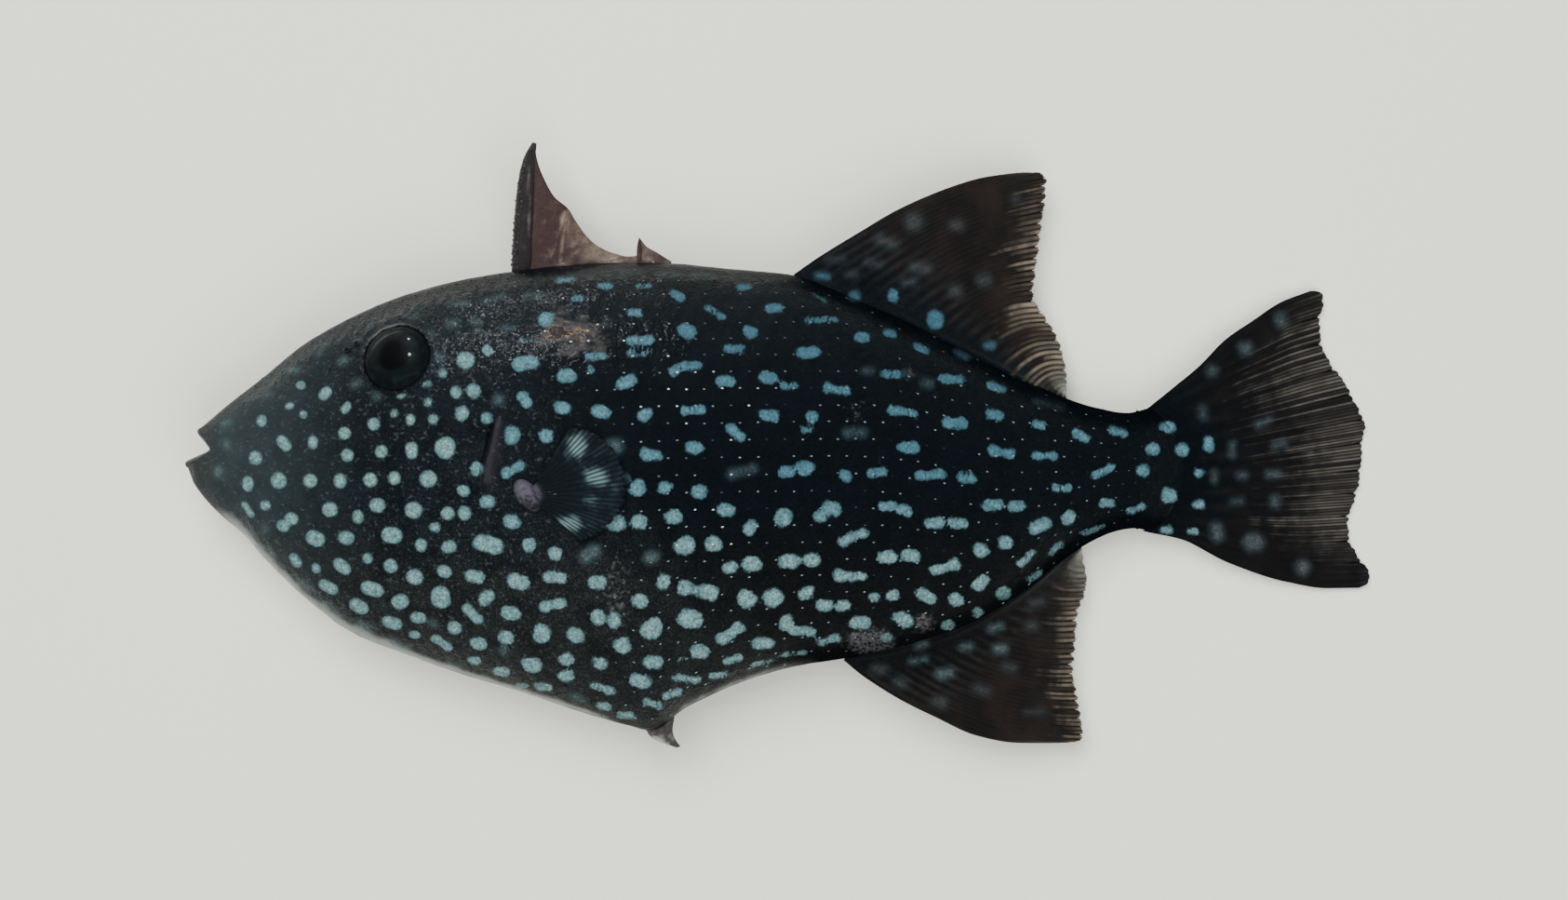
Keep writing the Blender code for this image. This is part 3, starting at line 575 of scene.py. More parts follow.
class Palette:
    """Lays out the nodes of one Principled material."""

    def __init__(self, name: str) -> None:
        """Starts a material.

        Args:
            name: Its name.
        """
        self.material = bpy.data.materials.new(name)
        self.material.use_nodes = True
        self.tree = self.material.node_tree
        place = self.node("ShaderNodeTexCoord", {}, "Object")
        self.place = self.node("ShaderNodeVectorMath", {0: place, 3: 1 / MM}, operation="SCALE")

    def feed(self, socket: Socket, given: object) -> None:
        """Links an input or sets its value.

        Args:
            socket: The input.
            given: A socket, a value, or None to leave the input alone.
        """
        if isinstance(given, Socket):
            self.tree.links.new(given, socket)
        elif given is not None:
            socket.default_value = (*given, 1) if socket.type == "RGBA" else given

    def node(self, kind: str, inputs: dict, output: str | int = 0, **settings: str) -> Socket:
        """Adds a node.

        Args:
            kind: The node's type.
            inputs: A socket or a value for each input, by its name or number.
            output: Which output is wanted.
            settings: The node's own settings.

        Returns:
            That output.
        """
        made = self.tree.nodes.new(kind)
        for name, value in settings.items():
            setattr(made, name, value)
        for key, given in inputs.items():
            self.feed(made.inputs[key], given)
        return made.outputs[output]

    def painted(self, name: str) -> Socket:
        """A value painted on the mesh."""
        return self.node("ShaderNodeAttribute", {}, "Fac", attribute_name=name)

    def math(self, operation: str, *values: object) -> Socket:
        """A Math node."""
        return self.node("ShaderNodeMath", dict(enumerate(values)), operation=operation)

    def times(self, a: object, b: object) -> Socket:
        """The product of two values."""
        return self.math("MULTIPLY", a, b)

    def plus(self, a: object, b: object) -> Socket:
        """The sum of two values."""
        return self.math("ADD", a, b)

    def line(self, value: object, slope: object, start: object) -> Socket:
        """A value times slope, plus start."""
        return self.math("MULTIPLY_ADD", value, slope, start)

    def ease(self, value: Socket, low: float, high: float) -> Socket:
        """Eases a value between two ends.

        Args:
            value: The value.
            low: Where the result is 0.
            high: Where it is 1, smaller than low for a result that falls.

        Returns:
            The smoothly eased share.
        """
        ends = {"From Min": min(low, high), "From Max": max(low, high)}
        ends |= {"To Min": float(low > high), "To Max": float(low < high)}
        return self.node("ShaderNodeMapRange", {"Value": value, **ends}, interpolation_type="SMOOTHSTEP")

    def noise(self, size: float, detail: float = 3, stretch: Triple = (1, 1, 1)) -> Socket:
        """Noise whose lumps are about size millimetres across, times stretch along each axis."""
        place = self.node("ShaderNodeVectorMath", {0: self.place, 1: stretch}, operation="DIVIDE")
        return self.node("ShaderNodeTexNoise", {"Vector": place, "Scale": 1 / size, "Detail": detail}, "Fac")

    def uneven(self, size: float, detail: float, swing: float, stretch: Triple = (1, 1, 1)) -> Socket:
        """Noise that swings to both sides of 0, by swing in all."""
        return self.line(self.noise(size, detail, stretch), swing, -swing / 2)

    def grains(self, size: float) -> Socket:
        """Distance from the middle of the nearest of many grains about size millimetres across."""
        return self.node("ShaderNodeTexVoronoi", {"Vector": self.place, "Scale": 1 / size}, "Distance")

    def blend(self, share: object, a: object, b: object) -> Socket:
        """A colour that goes from a to b as share goes from 0 to 1."""
        return self.node("ShaderNodeMix", {"Factor": share, 6: a, 7: b}, 2, data_type="RGBA")

    def layered(self, colour: object, *layers: tuple) -> Socket:
        """Lays colours over a colour.

        Args:
            colour: The lowest colour.
            layers: The share and the colour of each layer, and perhaps the most that it may cover.

        Returns:
            The colour of all the layers.
        """
        for share, over, *most in layers:
            colour = self.blend(self.times(share, most[0]) if most else share, colour, over)
        return colour

    def bump(self, height: Socket, depth: float, over: Socket | None = None) -> Socket:
        """A relief depth millimetres deep, laid over another if asked."""
        return self.node("ShaderNodeBump", {"Distance": depth * MM, "Height": height, "Normal": over})

    def axis(self, name: str) -> Socket:
        """The place along one axis, in millimetres."""
        return self.node("ShaderNodeSeparateXYZ", {0: self.place}, name)

    def set(self, **values: object) -> Material:
        """Links or sets the shader's own inputs.

        Args:
            values: A socket or a value for each input, by its name with _ for a space.

        Returns:
            The material.
        """
        for name, given in values.items():
            self.feed(self.tree.nodes["Principled BSDF"].inputs[name.replace("_", " ")], given)
        return self.material


@dataclass(frozen=True)
class WetSkin:
    """Blue-black wet skin with pale granular spots, scuffed in places, with painted sheen, glints and shade.
    """

    # The upper colours, lighter and bluer, are part the skin's own tone and part painted sheen of light from
    # above the back.
    rear_upper: Triple = (0.005, 0.0084, 0.0118)
    rear_middle: Triple = (0.003, 0.0054, 0.008)
    rear_lower: Triple = (0.0058, 0.0062, 0.0068)
    front_upper: Triple = (0.0165, 0.024, 0.03)
    front_middle: Triple = (0.01, 0.015, 0.0185)
    front_lower: Triple = (0.019, 0.0215, 0.022)
    cloud: Triple = (0.0022, 0.003, 0.004)
    pore: Triple = (0.0012, 0.0018, 0.0024)
    # Painted shade: dark colour in the throat inside the mouth, in the eye sockets and in the nostrils.
    pit: Triple = (0.002, 0.002, 0.003)
    # Painted shade: dark colour laid along the outline where the body meets its fins, and at the stalk's
    # end.
    outline: Triple = (0.0018, 0.0024, 0.003)
    snout: Triple = (0.03, 0.041, 0.044)
    # Painted sheen: the pale reflection along the wet curved belly edge, where the skin turns down to the
    # board.
    belly_rim: Triple = (0.2, 0.235, 0.215)
    spot_rear: Triple = (0.066, 0.172, 0.232)
    spot_back: Triple = (0.046, 0.122, 0.186)
    spot_front: Triple = (0.102, 0.24, 0.29)
    spot_head: Triple = (0.214, 0.375, 0.34)
    spot_stalk: Triple = (0.104, 0.242, 0.303)
    spot_lower: Triple = (0.205, 0.352, 0.355)
    spot_rim: Triple = (0.022, 0.055, 0.068)
    spot_faded: Triple = (0.135, 0.112, 0.108)
    scraped: Triple = (0.05, 0.047, 0.046)
    bare: Triple = (0.21, 0.125, 0.06)
    pitted: Triple = (0.02, 0.017, 0.015)
    # Pale grey of real grazes, also used for painted glints of wet skin.
    grazed: Triple = (0.13, 0.13, 0.14)
    # Pale keel tips, part the keels' own colour and part painted glint; the next colour is a painted glint
    # of wet keels in the sun.
    keel: Triple = (0.17, 0.23, 0.25)
    wet_keel: Triple = (0.85, 0.86, 0.84)
    fleck: Triple = (0.1, 0.115, 0.12)
    lip: Triple = (0.026, 0.026, 0.027)
    gill: Triple = (0.026, 0.022, 0.029)

    def ground(self, p: Palette) -> tuple[Socket, Socket]:
        """The ground colour between the spots.

        Args:
            p: The material's palette.

        Returns:
            The colour, and the fine grains that all of the skin has.
        """
        y = p.plus(p.axis("Y"), p.uneven(16, 2, 20))
        front = p.ease(p.line(y, 0.8, p.axis("X")), -28, -88)
        # Towards the back the ground takes the upper colours, part painted sheen.
        low, high = p.ease(y, -14, -40), p.ease(y, 8, 34)
        rear = p.layered(self.rear_middle, (low, self.rear_lower), (high, self.rear_upper))
        head = p.layered(self.front_middle, (low, self.front_lower), (high, self.front_upper))
        grain = p.grains(0.62)
        return p.layered(
            rear,
            (front, head),
            (p.ease(p.noise(7, 4), 0.38, 0.68), self.cloud, 0.5),
            (p.ease(grain, 0.15, 0.6), self.pore, 0.65),
        ), grain

    def spotted(self, p: Palette, colour: Socket, grain: Socket) -> Socket:
        """Lays the painted spots over a colour, soft-edged where they are faint.

        Args:
            p: The material's palette.
            colour: The colour round the spots.
            grain: The skin's fine grains.

        Returns:
            The colour with its spots.
        """
        x, y = p.axis("X"), p.axis("Y")
        spot, bright = p.painted("spot"), p.painted("bright")
        tone = p.layered(
            self.spot_rear,
            (p.ease(x, 5, -60), self.spot_front),
            (p.ease(y, 6, 32), self.spot_back, p.ease(x, -62, -10)),
            (p.ease(x, 55, 95), self.spot_stalk),
            (p.ease(y, -4, -36), self.spot_lower),
            (p.ease(x, -68, -96), self.spot_head, p.ease(y, -34, -14)),
            (p.ease(bright, 0.65, 0.2), self.spot_faded),
            (p.ease(p.noise(1.1, 3), 0.4, 0.66), self.spot_rim, 0.55),
            (p.ease(grain, 0.22, 0.65), self.spot_rim, 0.5),
            (p.ease(spot, -1.5, 0.2), self.spot_rim, 0.6),
        )
        rough = p.plus(p.uneven(3.2, 2, 2), p.uneven(0.9, 2, 1))
        ragged = p.times(rough, p.line(p.ease(x, -105, -60), 0.7, 0.3))
        edge = p.line(ragged, p.line(bright, 0.5, 0.5), p.plus(spot, 0.22))
        edge = p.math("DIVIDE", edge, p.line(bright, -1.9, 2.3))
        return p.blend(p.times(p.ease(edge, 1, -1), bright), colour, tone)

    def material(self) -> Material:
        """Mixes the colour and the wet relief of the skin and its scales.

        Returns:
            The material.
        """
        p = Palette("wet_skin")
        ground, grain = self.ground(p)
        haze = p.times(p.painted("haze"), p.line(p.noise(5, 4), 0.9, 0.45))
        colour = self.spotted(p, p.blend(p.math("MINIMUM", haze, 1), ground, self.snout), grain)
        # rim: the painted sheen along the belly's edge.
        rim = p.plus(p.painted("belly_rim"), p.uneven(4, 4, 1))
        scrape = p.painted("scrape")
        uneven = p.times(p.uneven(3.2, 4, 3, (2, 1, 1)), p.ease(scrape, 0.02, 0.2))
        worn = p.plus(scrape, uneven)
        # Grazes, and painted glints where those blots sit on wet skin.
        graze = p.ease(p.plus(p.painted("graze"), p.uneven(1.3, 5, 2.4)), 0.55, 1.5)
        graze = p.times(graze, p.ease(p.noise(0.8, 3), 0.3, 0.62))
        keel, shade = p.painted("keel"), p.painted("shade")
        fleck = p.times(p.ease(p.noise(1.1, 3), 0.58, 0.7), p.ease(p.axis("X"), -45, -70))
        colour = p.layered(
            colour,
            (p.ease(rim, 0.2, 1), self.belly_rim, 0.85),
            (p.ease(worn, 0.2, 0.9), self.scraped, 0.8),
            (p.ease(worn, 0.84, 0.91), self.bare),
            (p.ease(worn, 0.89, 0.95), self.pitted),
            (graze, self.grazed, 0.6),
            (p.painted("gill"), self.gill),
            (p.painted("lip"), self.lip),
            (p.painted("pit"), self.pit),
            # Pale keel tips, part painted glint, and above 1 a painted glint of wet keels in the sun.
            (p.math("MINIMUM", keel, 1), self.keel),
            (p.ease(keel, 1, 1.6), self.wet_keel),
            (fleck, self.fleck, 0.25),
            # Painted shade along the outline.
            (shade, self.outline, 0.45),
        )
        return p.set(
            Base_Color=colour, Roughness=p.line(p.noise(3, 4), 0.35, 0.3),
            Normal=p.bump(grain, 0.13, p.bump(p.noise(2.4, 3), 0.2)), Coat_Roughness=0.04,
            Coat_Weight=p.line(shade, -0.5, 0.5), Coat_Normal=p.bump(p.noise(1, 2), 0.16),
            Specular_IOR_Level=p.line(shade, -0.25, 0.25),
        )


@dataclass(frozen=True)
class FinMembrane:
    """Dark wet membrane over soft rays that grows out of the skin, worn brown towards its edge."""

    name: str
    web: Triple = (0.0062, 0.0057, 0.0056)
    ray: Triple = (0.019, 0.0165, 0.015)
    margin: Triple = (0.33, 0.275, 0.205)
    brown: Triple = (0.022, 0.015, 0.013)
    slit: Triple = (0.002, 0.002, 0.002)

    def material(self) -> Material:
        """Mixes the colour and the relief of one soft fin.

        Returns:
            The material.
        """
        p = Palette(self.name)
        ground, grain = WetSkin().ground(p)
        reach = p.painted("reach")
        worn = p.plus(p.painted("worn"), p.uneven(3.4, 4, 0.9))
        body = p.layered(
            ground,
            (p.ease(reach, 0.05, 0.5), self.web),
            (p.painted("ray"), self.ray, p.line(p.noise(4, 3), 1.6, -0.25)),
            (p.ease(worn, 0.1, 0.95), self.margin, p.painted("streak")),
            (p.ease(p.noise(9, 3), 0.4, 0.7), self.brown, p.line(p.ease(reach, 0.2, 0.7), 0.5, 0)),
            (p.painted("slit"), self.slit),
        )
        return p.set(
            Base_Color=WetSkin().spotted(p, body, grain), Roughness=0.5, Coat_Roughness=0.07,
            Normal=p.bump(p.noise(0.9, 4), 0.16), Specular_IOR_Level=0.2,
            Coat_Weight=p.times(p.ease(reach, 0.02, 0.2), 0.3),
        )


@dataclass(frozen=True)
class SpineAndWeb:
    """Rough bone, or the purple-brown web behind it, pale where "pale" is painted; on a patch of the web and
    down the pelvic stub's left side that pale is a painted highlight.
    """

    name: str
    colour: Triple
    pale: Triple
    fleck: Triple = (0.012, 0.01, 0.011)
    rim: Triple = (0.008, 0.007, 0.008)
    roughness: float = 0.45
    grain_size: float = 0.7

    def material(self) -> Material:
        """Mixes the colour and the grain of a spine or a web.

        Returns:
            The material.
        """
        p = Palette(self.name)
        colour = p.layered(
            self.colour,
            (p.ease(p.plus(p.painted("pale"), p.uneven(2.6, 4, 1.3)), 0, 1), self.pale),
            (p.ease(p.noise(0.8, 3), 0.45, 0.7), self.fleck, 0.35),
            (p.ease(p.painted("rim"), 0.2, 1), self.rim),
        )
        return p.set(
            Base_Color=colour, Roughness=self.roughness, Normal=p.bump(p.grains(self.grain_size), 0.12),
            Coat_Weight=0.25, Coat_Roughness=0.1, Specular_IOR_Level=0.3,
        )


@dataclass(frozen=True)
class WetEye:
    """A dark grey-green iris and a barely darker pupil under a clear wet cornea."""

    pupil: Triple = (0.0016, 0.0018, 0.0022)
    iris: Triple = (0.0032, 0.0046, 0.0054)
    ring: Triple = (0.006, 0.0105, 0.012)
    white: Triple = (0.004, 0.0048, 0.0056)
    pupil_share: float = 0.4
    iris_share: float = 0.84

    def material(self) -> Material:
        """Mixes the iris round the pupil, under the cornea's shine.

        Returns:
            The material.
        """
        p = Palette("wet_eye")
        pole = p.plus(p.painted("pole"), p.uneven(1.4, 3, 0.08))
        iris = p.blend(p.ease(p.noise(2.2, 4), 0.38, 0.75), self.iris, self.ring)
        colour = p.layered(
            self.pupil,
            (p.ease(pole, self.pupil_share - 0.05, self.pupil_share + 0.1), iris),
            (p.ease(pole, self.iris_share, self.iris_share + 0.05), self.white),
        )
        clear = p.ease(pole, self.iris_share - 0.06, self.iris_share - 0.2)
        return p.set(
            Base_Color=colour, Roughness=0.35, Coat_Weight=p.times(clear, 0.6), Coat_Roughness=0.02,
            Specular_IOR_Level=p.line(clear, 0.15, 0.05),
        )


@dataclass(frozen=True)
class PaleBoard:
    """The plain pale floor."""

    colour: Triple = (0.86, 0.87, 0.79)

    def material(self) -> Material:
        """The floor's material."""
        return Palette("pale_board").set(Base_Color=self.colour, Roughness=0.6, Specular_IOR_Level=0.2)


@dataclass(frozen=True)
class PectoralMembrane:
    """Thin dark membrane whose rays show pale teal in blotches, over a purple-grey lobe."""

    web: Triple = (0.004, 0.0062, 0.0078)
    ray: Triple = (0.012, 0.02, 0.024)
    fleck: Triple = (0.15, 0.25, 0.25)
    lobe: Triple = (0.07, 0.066, 0.088)
    lobe_dark: Triple = (0.014, 0.012, 0.016)

    def material(self) -> Material:
        """Mixes the colour and the relief of the pectoral fins.

        Returns:
            The material.
        """
        p = Palette("pectoral_membrane")
        ray = p.painted("ray")
        seen = p.times(ray, p.ease(p.noise(3, 3), 0.3, 0.7))
        shown = p.ease(p.plus(p.painted("fleck"), p.uneven(2.2, 3, 0.8)), 0.15, 1)
        upper = p.ease(p.plus(p.axis("Y"), p.uneven(1.3, 4, 16)), -17.5, -10.5)
        colour = p.layered(
            self.web,
            (seen, self.ray, p.painted("reach")),
            (shown, self.fleck, p.line(ray, 0.75, 0.1)),
            (p.painted("lobe"), p.blend(upper, self.lobe_dark, self.lobe)),
        )
        return p.set(
            Base_Color=colour, Roughness=0.45, Normal=p.bump(p.noise(0.8, 3), 0.25), Coat_Weight=0.3,
            Coat_Roughness=0.05, Specular_IOR_Level=0.2,
        )


WET_SKIN = WetSkin().material()
WET_EYE = WetEye().material()
DORSAL_MEMBRANE = FinMembrane("dorsal_membrane").material()
ANAL_MEMBRANE = FinMembrane("anal_membrane").material()
CAUDAL_MEMBRANE = FinMembrane(
    "caudal_membrane", web=(0.004, 0.0042, 0.0046), ray=(0.008, 0.0074, 0.0074),
    margin=(0.145, 0.131, 0.115), brown=(0.0095, 0.0082, 0.0078),
).material()
PECTORAL = PectoralMembrane().material()
WEB = SpineAndWeb("purple_web", (0.036, 0.022, 0.021), (0.172, 0.132, 0.104), grain_size=1.2).material()
BONE = SpineAndWeb("rough_bone", (0.018, 0.016, 0.017), (0.075, 0.066, 0.064), roughness=0.6).material()
# The pelvic stub's pale colour serves a painted highlight down its left side.
PELVIC = SpineAndWeb("pelvic_bone", (0.04, 0.036, 0.037), (0.28, 0.27, 0.26)).material()
PALE_BOARD = PaleBoard().material()


# Markings


# Each pale spot is x, y, length, height and, where it leans, a turn in degrees, seen from above.
BODY_SPOTS = (
    (-88.7, -0.8, 5.8, 6.2), (-97.6, -1.5, 3.8, 5), (-105.8, -1.8, 3.9, 3.7), (-93.2, -9, 5, 4.7),
    (-102.3, -8.8, 3.6, 4), (-108.8, -9.3, 4.4, 4.2), (-117, -9.6, 4, 4.2), (-125.2, -9.6, 4.3, 4, 20),
    (-133.8, -9.5, 4.8, 4.8), (-142.5, -10.4, 3.4, 4.6, -15), (-140.2, -3.5, 4, 4.2),
    (-115, -2.8, 3.8, 3.8), (-115.8, 3.1, 3.9, 3.8), (-124.4, 0.6, 3, 4), (-132.4, 0.4, 5.2, 3.4, -50),
    (-138.7, 6.4, 3.2, 3.6), (-131, 10.2, 3, 2.2, 10), (-127.2, 8, 2.6, 2.4), (-121.4, 13.6, 4.6, 3.2, 48),
    (-115.5, 9.9, 4, 2.6, 50), (-128.1, 15.8, 3, 2.8), (-107.9, 5.4, 3.8, 3.8), (-102.4, 8.2, 2.6, 2.4),
    (-98, 6.6, 3, 3.4), (-92, 6.6, 3.2, 3), (-93.4, 11.1, 2.8, 2.8), (-100.4, 13.5, 3.8, 2.6, 35),
    (-94, 16, 3.4, 2), (-86, 13.8, 3.4, 3.6), (-84.3, 8.3, 4.6, 4.2, 20), (-89.6, 18.7, 2.8, 2.8),
    (-83.6, 22.4, 5.2, 5), (-84, -12, 3.9, 3.6), (-119.9, -17.2, 4.8, 4.2), (-112.3, -19, 3.4, 4),
    (-107, -16, 4.8, 4.2), (-97.3, -17.2, 5, 4.8), (-88.2, -18.1, 4, 4), (-137.8, -16.2, 3.6, 3),
    (-142.8, -17.3, 5.2, 2.6, -55), (-130.6, -19.8, 4.2, 4), (-133, -21.7, 4, 3.6), (-83.7, -18, 3.8, 4),
    (-124.2, -25, 5.8, 4.4, -20), (-115.6, -24.6, 4.8, 4), (-103.2, -23.8, 6.2, 4.8, -10),
    (-91.6, -21.7, 3.4, 2.8), (-95.4, -26.5, 3.8, 3.8), (-87.9, -27, 4.8, 3.7, 15),
    (-130, -31, 4.6, 3.2, -60), (-124.4, -33, 2.8, 3.2), (-109.9, -30, 3.2, 3.2), (-103.7, -32, 4.2, 4.2),
    (-117, -32.3, 5.8, 3.8, -40), (-97.4, -35, 4.8, 4.8), (-89.4, -33.4, 4.4, 3.8),
    (-121.2, -38, 6, 3.8, -25), (-109, -38.2, 6.6, 4.4, -15), (-90.6, -40.4, 5.4, 6.4),
    (-101.6, -41.6, 5.2, 4.4, 30), (-113, -43, 5.8, 4.4, -30), (-96.9, -46, 4.8, 3.6),
    (-87.2, -48.5, 4, 4.4), (-104.2, -47.5, 5.8, 4, -20), (-98.3, -50.8, 3.4, 2.8),
    (-91, -52.8, 6.6, 3.2, -35), (-82.2, -44.6, 7, 3.4, -45), (-78.4, -40.2, 5.4, 3.6, 40),
    (-72, -44.5, 5.6, 4.2), (-73.5, -51, 4.6, 4.4), (-81, -52.7, 5, 4.2), (-82.4, -57.6, 3.6, 3),
    (-75.2, -60.6, 4.6, 3.6), (-66.9, -58.6, 6, 4.8), (-63.9, -50, 5, 6), (-62.8, -42.7, 4.4, 3.4),
    (-59, -42, 4.8, 3.6), (-54.9, -50.3, 5, 4.6), (-57.7, -57, 4.4, 4.2), (-58, -61.4, 4.6, 4),
    (-64.2, -64.8, 5.5, 3), (-70, -64.6, 4, 2), (-48.2, -64.8, 7, 3, -15), (-48, -70, 4.4, 3.2),
    (-42, -72.6, 5.6, 3), (-48.7, -57.7, 4.4, 4), (-42.7, -53, 5.2, 5.2), (-48.8, -45.4, 4.6, 5),
    (-44.8, -46.2, 4.4, 4.6), (-37.9, -41, 5, 4.4), (-34.8, -48.4, 7, 5.2, 55), (-34.5, -57.6, 5.8, 3.8),
    (-37.9, -62.7, 6.6, 4.4, -10), (-24.6, -46.2, 7.4, 5.2, -10), (-31.5, -36.1, 4.2, 4.4),
    (-26.2, -37.9, 4.4, 5), (-22.8, -38.4, 4, 2.4), (-19.8, -39, 5.8, 4.8, -25), (-22.2, -55, 5.6, 4.6),
    (-27, -57, 3.4, 2, 20), (-14.3, -50, 9, 4, 35), (-13.6, -57, 6, 2.8, 20), (-17.5, -61.6, 5.4, 2.6),
    (-25.8, -62.3, 8.4, 2.8, -5), (-29.9, -66.4, 6, 3, 15), (-35, -69, 6, 2.6, -15),
    (-9.8, -40.6, 5.4, 5.6), (-2.8, -40.4, 5.4, 5.6), (6, -39.3, 5, 3.4, 30), (10.6, -42.6, 4.8, 3.8),
    (15.8, -42.6, 4.8, 3.4, 10), (24, -40.4, 3.6, 3), (28.9, -40, 4.6, 3.4), (37.8, -40.5, 6.4, 3.8, -28),
    (20.2, -47.3, 6.4, 4), (31.9, -46.6, 6.4, 4.4, -30), (44.1, -48.7, 4, 3.7), (0.8, -47.4, 4.4, 5.2),
    (4.8, -49.8, 7.2, 3.4, -4), (-5.6, -52.8, 6, 3.8), (-6.1, -58.2, 6.4, 2.2, 15), (2.6, -55.8, 7, 2, 5),
    (12, -52.4, 6.8, 3, 20), (27.6, -51.4, 3.6, 3.4), (52.1, -45, 3.7, 3.7), (46.2, -41.6, 4.6, 4.2),
    (59, -39.8, 4.6, 4.4), (-80.5, -6.4, 4, 4.4), (-70.8, -6.4, 7.4, 3.4, 28), (-77.7, -14.9, 4.6, 3.8),
    (-71.4, -20.2, 5, 4), (-77.5, -26, 8.4, 5, -15), (-67, -26.3, 4.2, 4), (-60, -28.7, 4.2, 4.4),
    (-49, -36.2, 5.6, 4.4), (-60, -35, 7, 3.6), (-69.8, -36, 6.6, 5, -20), (-81.3, -34.6, 5.8, 3.8, -15),
    (-38.4, -11.4, 4.4, 5.2), (-31.2, -11.2, 4.6, 3.8), (-22.2, -12.4, 4.8, 4.4),
    (-34.7, -2.7, 6.6, 3.5, -10), (-23.4, -0.8, 5.4, 3.8), (-44.2, -20.4, 6, 4.8), (-38, -20.2, 5.2, 4.2),
    (-29, -19, 5, 4.4), (-26, -26.5, 6.6, 5.2, 25), (-71, 2.6, 4.2, 5.4, -10), (-62.2, 2.3, 4.6, 4.2),
    (-68, 11.8, 5.4, 3.4, -50), (-81.4, 14.2, 4.4, 4.2), (-77.8, 7, 3.4, 3.6), (-57.9, 9.6, 5.2, 3.8),
    (-47.9, 8.6, 6, 3.5), (-36.5, 8, 4.6, 3.9, 20), (-24, 9.2, 7.6, 3.2), (-57, 18.2, 5.4, 3.9),
    (-50.7, 19.6, 2.2, 2.2), (-41.4, 16.3, 6, 3.6, 25), (-27.4, 20.1, 6.4, 3.2, 22), (-23.4, 20.8, 4, 2.8),
    (-67.9, 21.4, 7.8, 4.2, 8), (-49.5, 23.2, 6.6, 2.6), (-15.2, 16.7, 5.8, 3.6),
    (-4.2, 17.6, 5.6, 3.4, -10), (1.2, 15.6, 5, 2.4), (14, 14.6, 8, 3, -10), (31.4, 8.7, 9, 3.2, -12),
    (-3.8, 7.6, 6.2, 3.5, -6), (7.4, 7.2, 4, 3.2), (6.3, 4.1, 4, 2.2), (-12.7, 3.2, 6.6, 3.4, -45),
    (33.2, -0.8, 6.4, 3.5), (39, -8, 9, 3.2, 5), (0.8, -7, 5, 3.4), (5.6, -6.2, 5.4, 4.4, 15),
    (24.5, -7.4, 6.4, 3, 8), (16.1, -8.2, 4.4, 3.2, -30), (-15.2, -17.2, 5.6, 4), (-0.3, -19.3, 5.4, 5.4),
    (12.6, -16.9, 5.6, 4.2, -10), (9.8, -18.8, 4.2, 3.4), (-9, -21.9, 4.8, 3.8, 55),
    (-18.5, -26.1, 4.8, 4.8), (18.2, -24.4, 9.4, 3.3, 20), (27.2, -16.4, 6.4, 3.4),
    (31.8, -17.4, 5.4, 3.4, -8), (-14.2, -32.2, 4.8, 3.6, 25), (-8.4, -31.2, 5.8, 4.6),
    (1.6, -30.9, 6.2, 4.4), (7.4, -30.6, 5.4, 4.2), (17.6, -34.7, 9.6, 3.5), (27.3, -29.8, 6.2, 3.8),
    (33.6, -29.6, 5.4, 3.8, -10), (42.9, -32.6, 9.2, 3.4, 14), (48, 24.3, 4.6, 3, -25),
    (62.4, 19.6, 4.4, 2.8, -50), (44.6, 17.6, 8, 3.2), (56.8, 15.5, 5.8, 3, -20), (45.3, 5.8, 7.6, 3.7),
    (56.2, 8, 6, 3.3, -10), (68.4, 5.3, 5, 2.8, -15), (80, 2.5, 6.4, 3.2, -25), (90.2, 3.6, 6, 3, -15),
    (100, -1, 4.2, 4), (104.4, 4.8, 4.8, 3.4), (58, -2, 8.2, 3.4, -10), (69.9, -3, 8, 3),
    (48.5, -8.6, 5.6, 3.3), (74.7, -11.6, 6.6, 2.9), (86, -7, 7.6, 2.8, 25), (97, -7.2, 4.4, 3.4),
    (104.8, -13.8, 5.4, 4.8), (87, -15.8, 5, 3), (95.2, -17.4, 6.2, 2.9, 20), (55.8, -16.1, 6.6, 3.4),
    (62.2, -16.4, 6, 3.1), (40, -20.8, 6.6, 3.4, 8), (46.2, -20.9, 6.6, 3.4, -8),
    (76.6, -19.8, 4.9, 4.1, 35), (68.6, -21.8, 6.8, 4, 20), (83.6, -23, 7.4, 2, 22), (59.3, -26.2, 4.4, 4),
    (52.5, -28.2, 4.8, 4.2), (64.8, -30.6, 6.8, 3, 42), (73.2, -28, 5.8, 2.4, 38),
    (67.4, -35.5, 5, 2.8, 25), (52.4, -36.8, 5.8, 4, 42), (-54.3, 38.8, 3.8, 2.2),
    (-47.4, 42.2, 4.4, 2.6, -10), (-37.3, 42.3, 4.4, 2.2), (-39.4, 35, 5, 2.7), (-28.3, 39.6, 5, 2.6, -30),
    (-38, 27.6, 8, 3.2), (-39.8, 24, 3.2, 2), (-36.3, 24, 3.2, 2), (-25.5, 30, 5.6, 4.2, -30),
    (-78, 24.8, 3.8, 3, -40), (-67.2, 27.4, 6.4, 1.6, -5), (-62.8, 33.2, 4.8, 4.6),
    (-18.2, 35, 6.8, 2.4, -33), (-10.5, 42.1, 4.2, 2.3), (-2.7, 36.3, 5.4, 3.2), (-8.9, 30, 4.8, 3.6, -30),
    (-13.2, 25.4, 6.4, 3), (6.2, 24.4, 7, 3.6), (7.6, 33, 4.6, 2.6), (12, 33.3, 4.8, 2.3),
    (9.3, 39.2, 5, 1.7, -25), (20.7, 28.7, 5, 3.3), (28, 29.8, 4.6, 2.8), (36.7, 25.6, 4.5, 3, -22),
    (28.6, 18.8, 5.4, 2.8), (-58, 43.8, 5, 2.4), (18.8, 39.6, 3.6, 3.8),
)
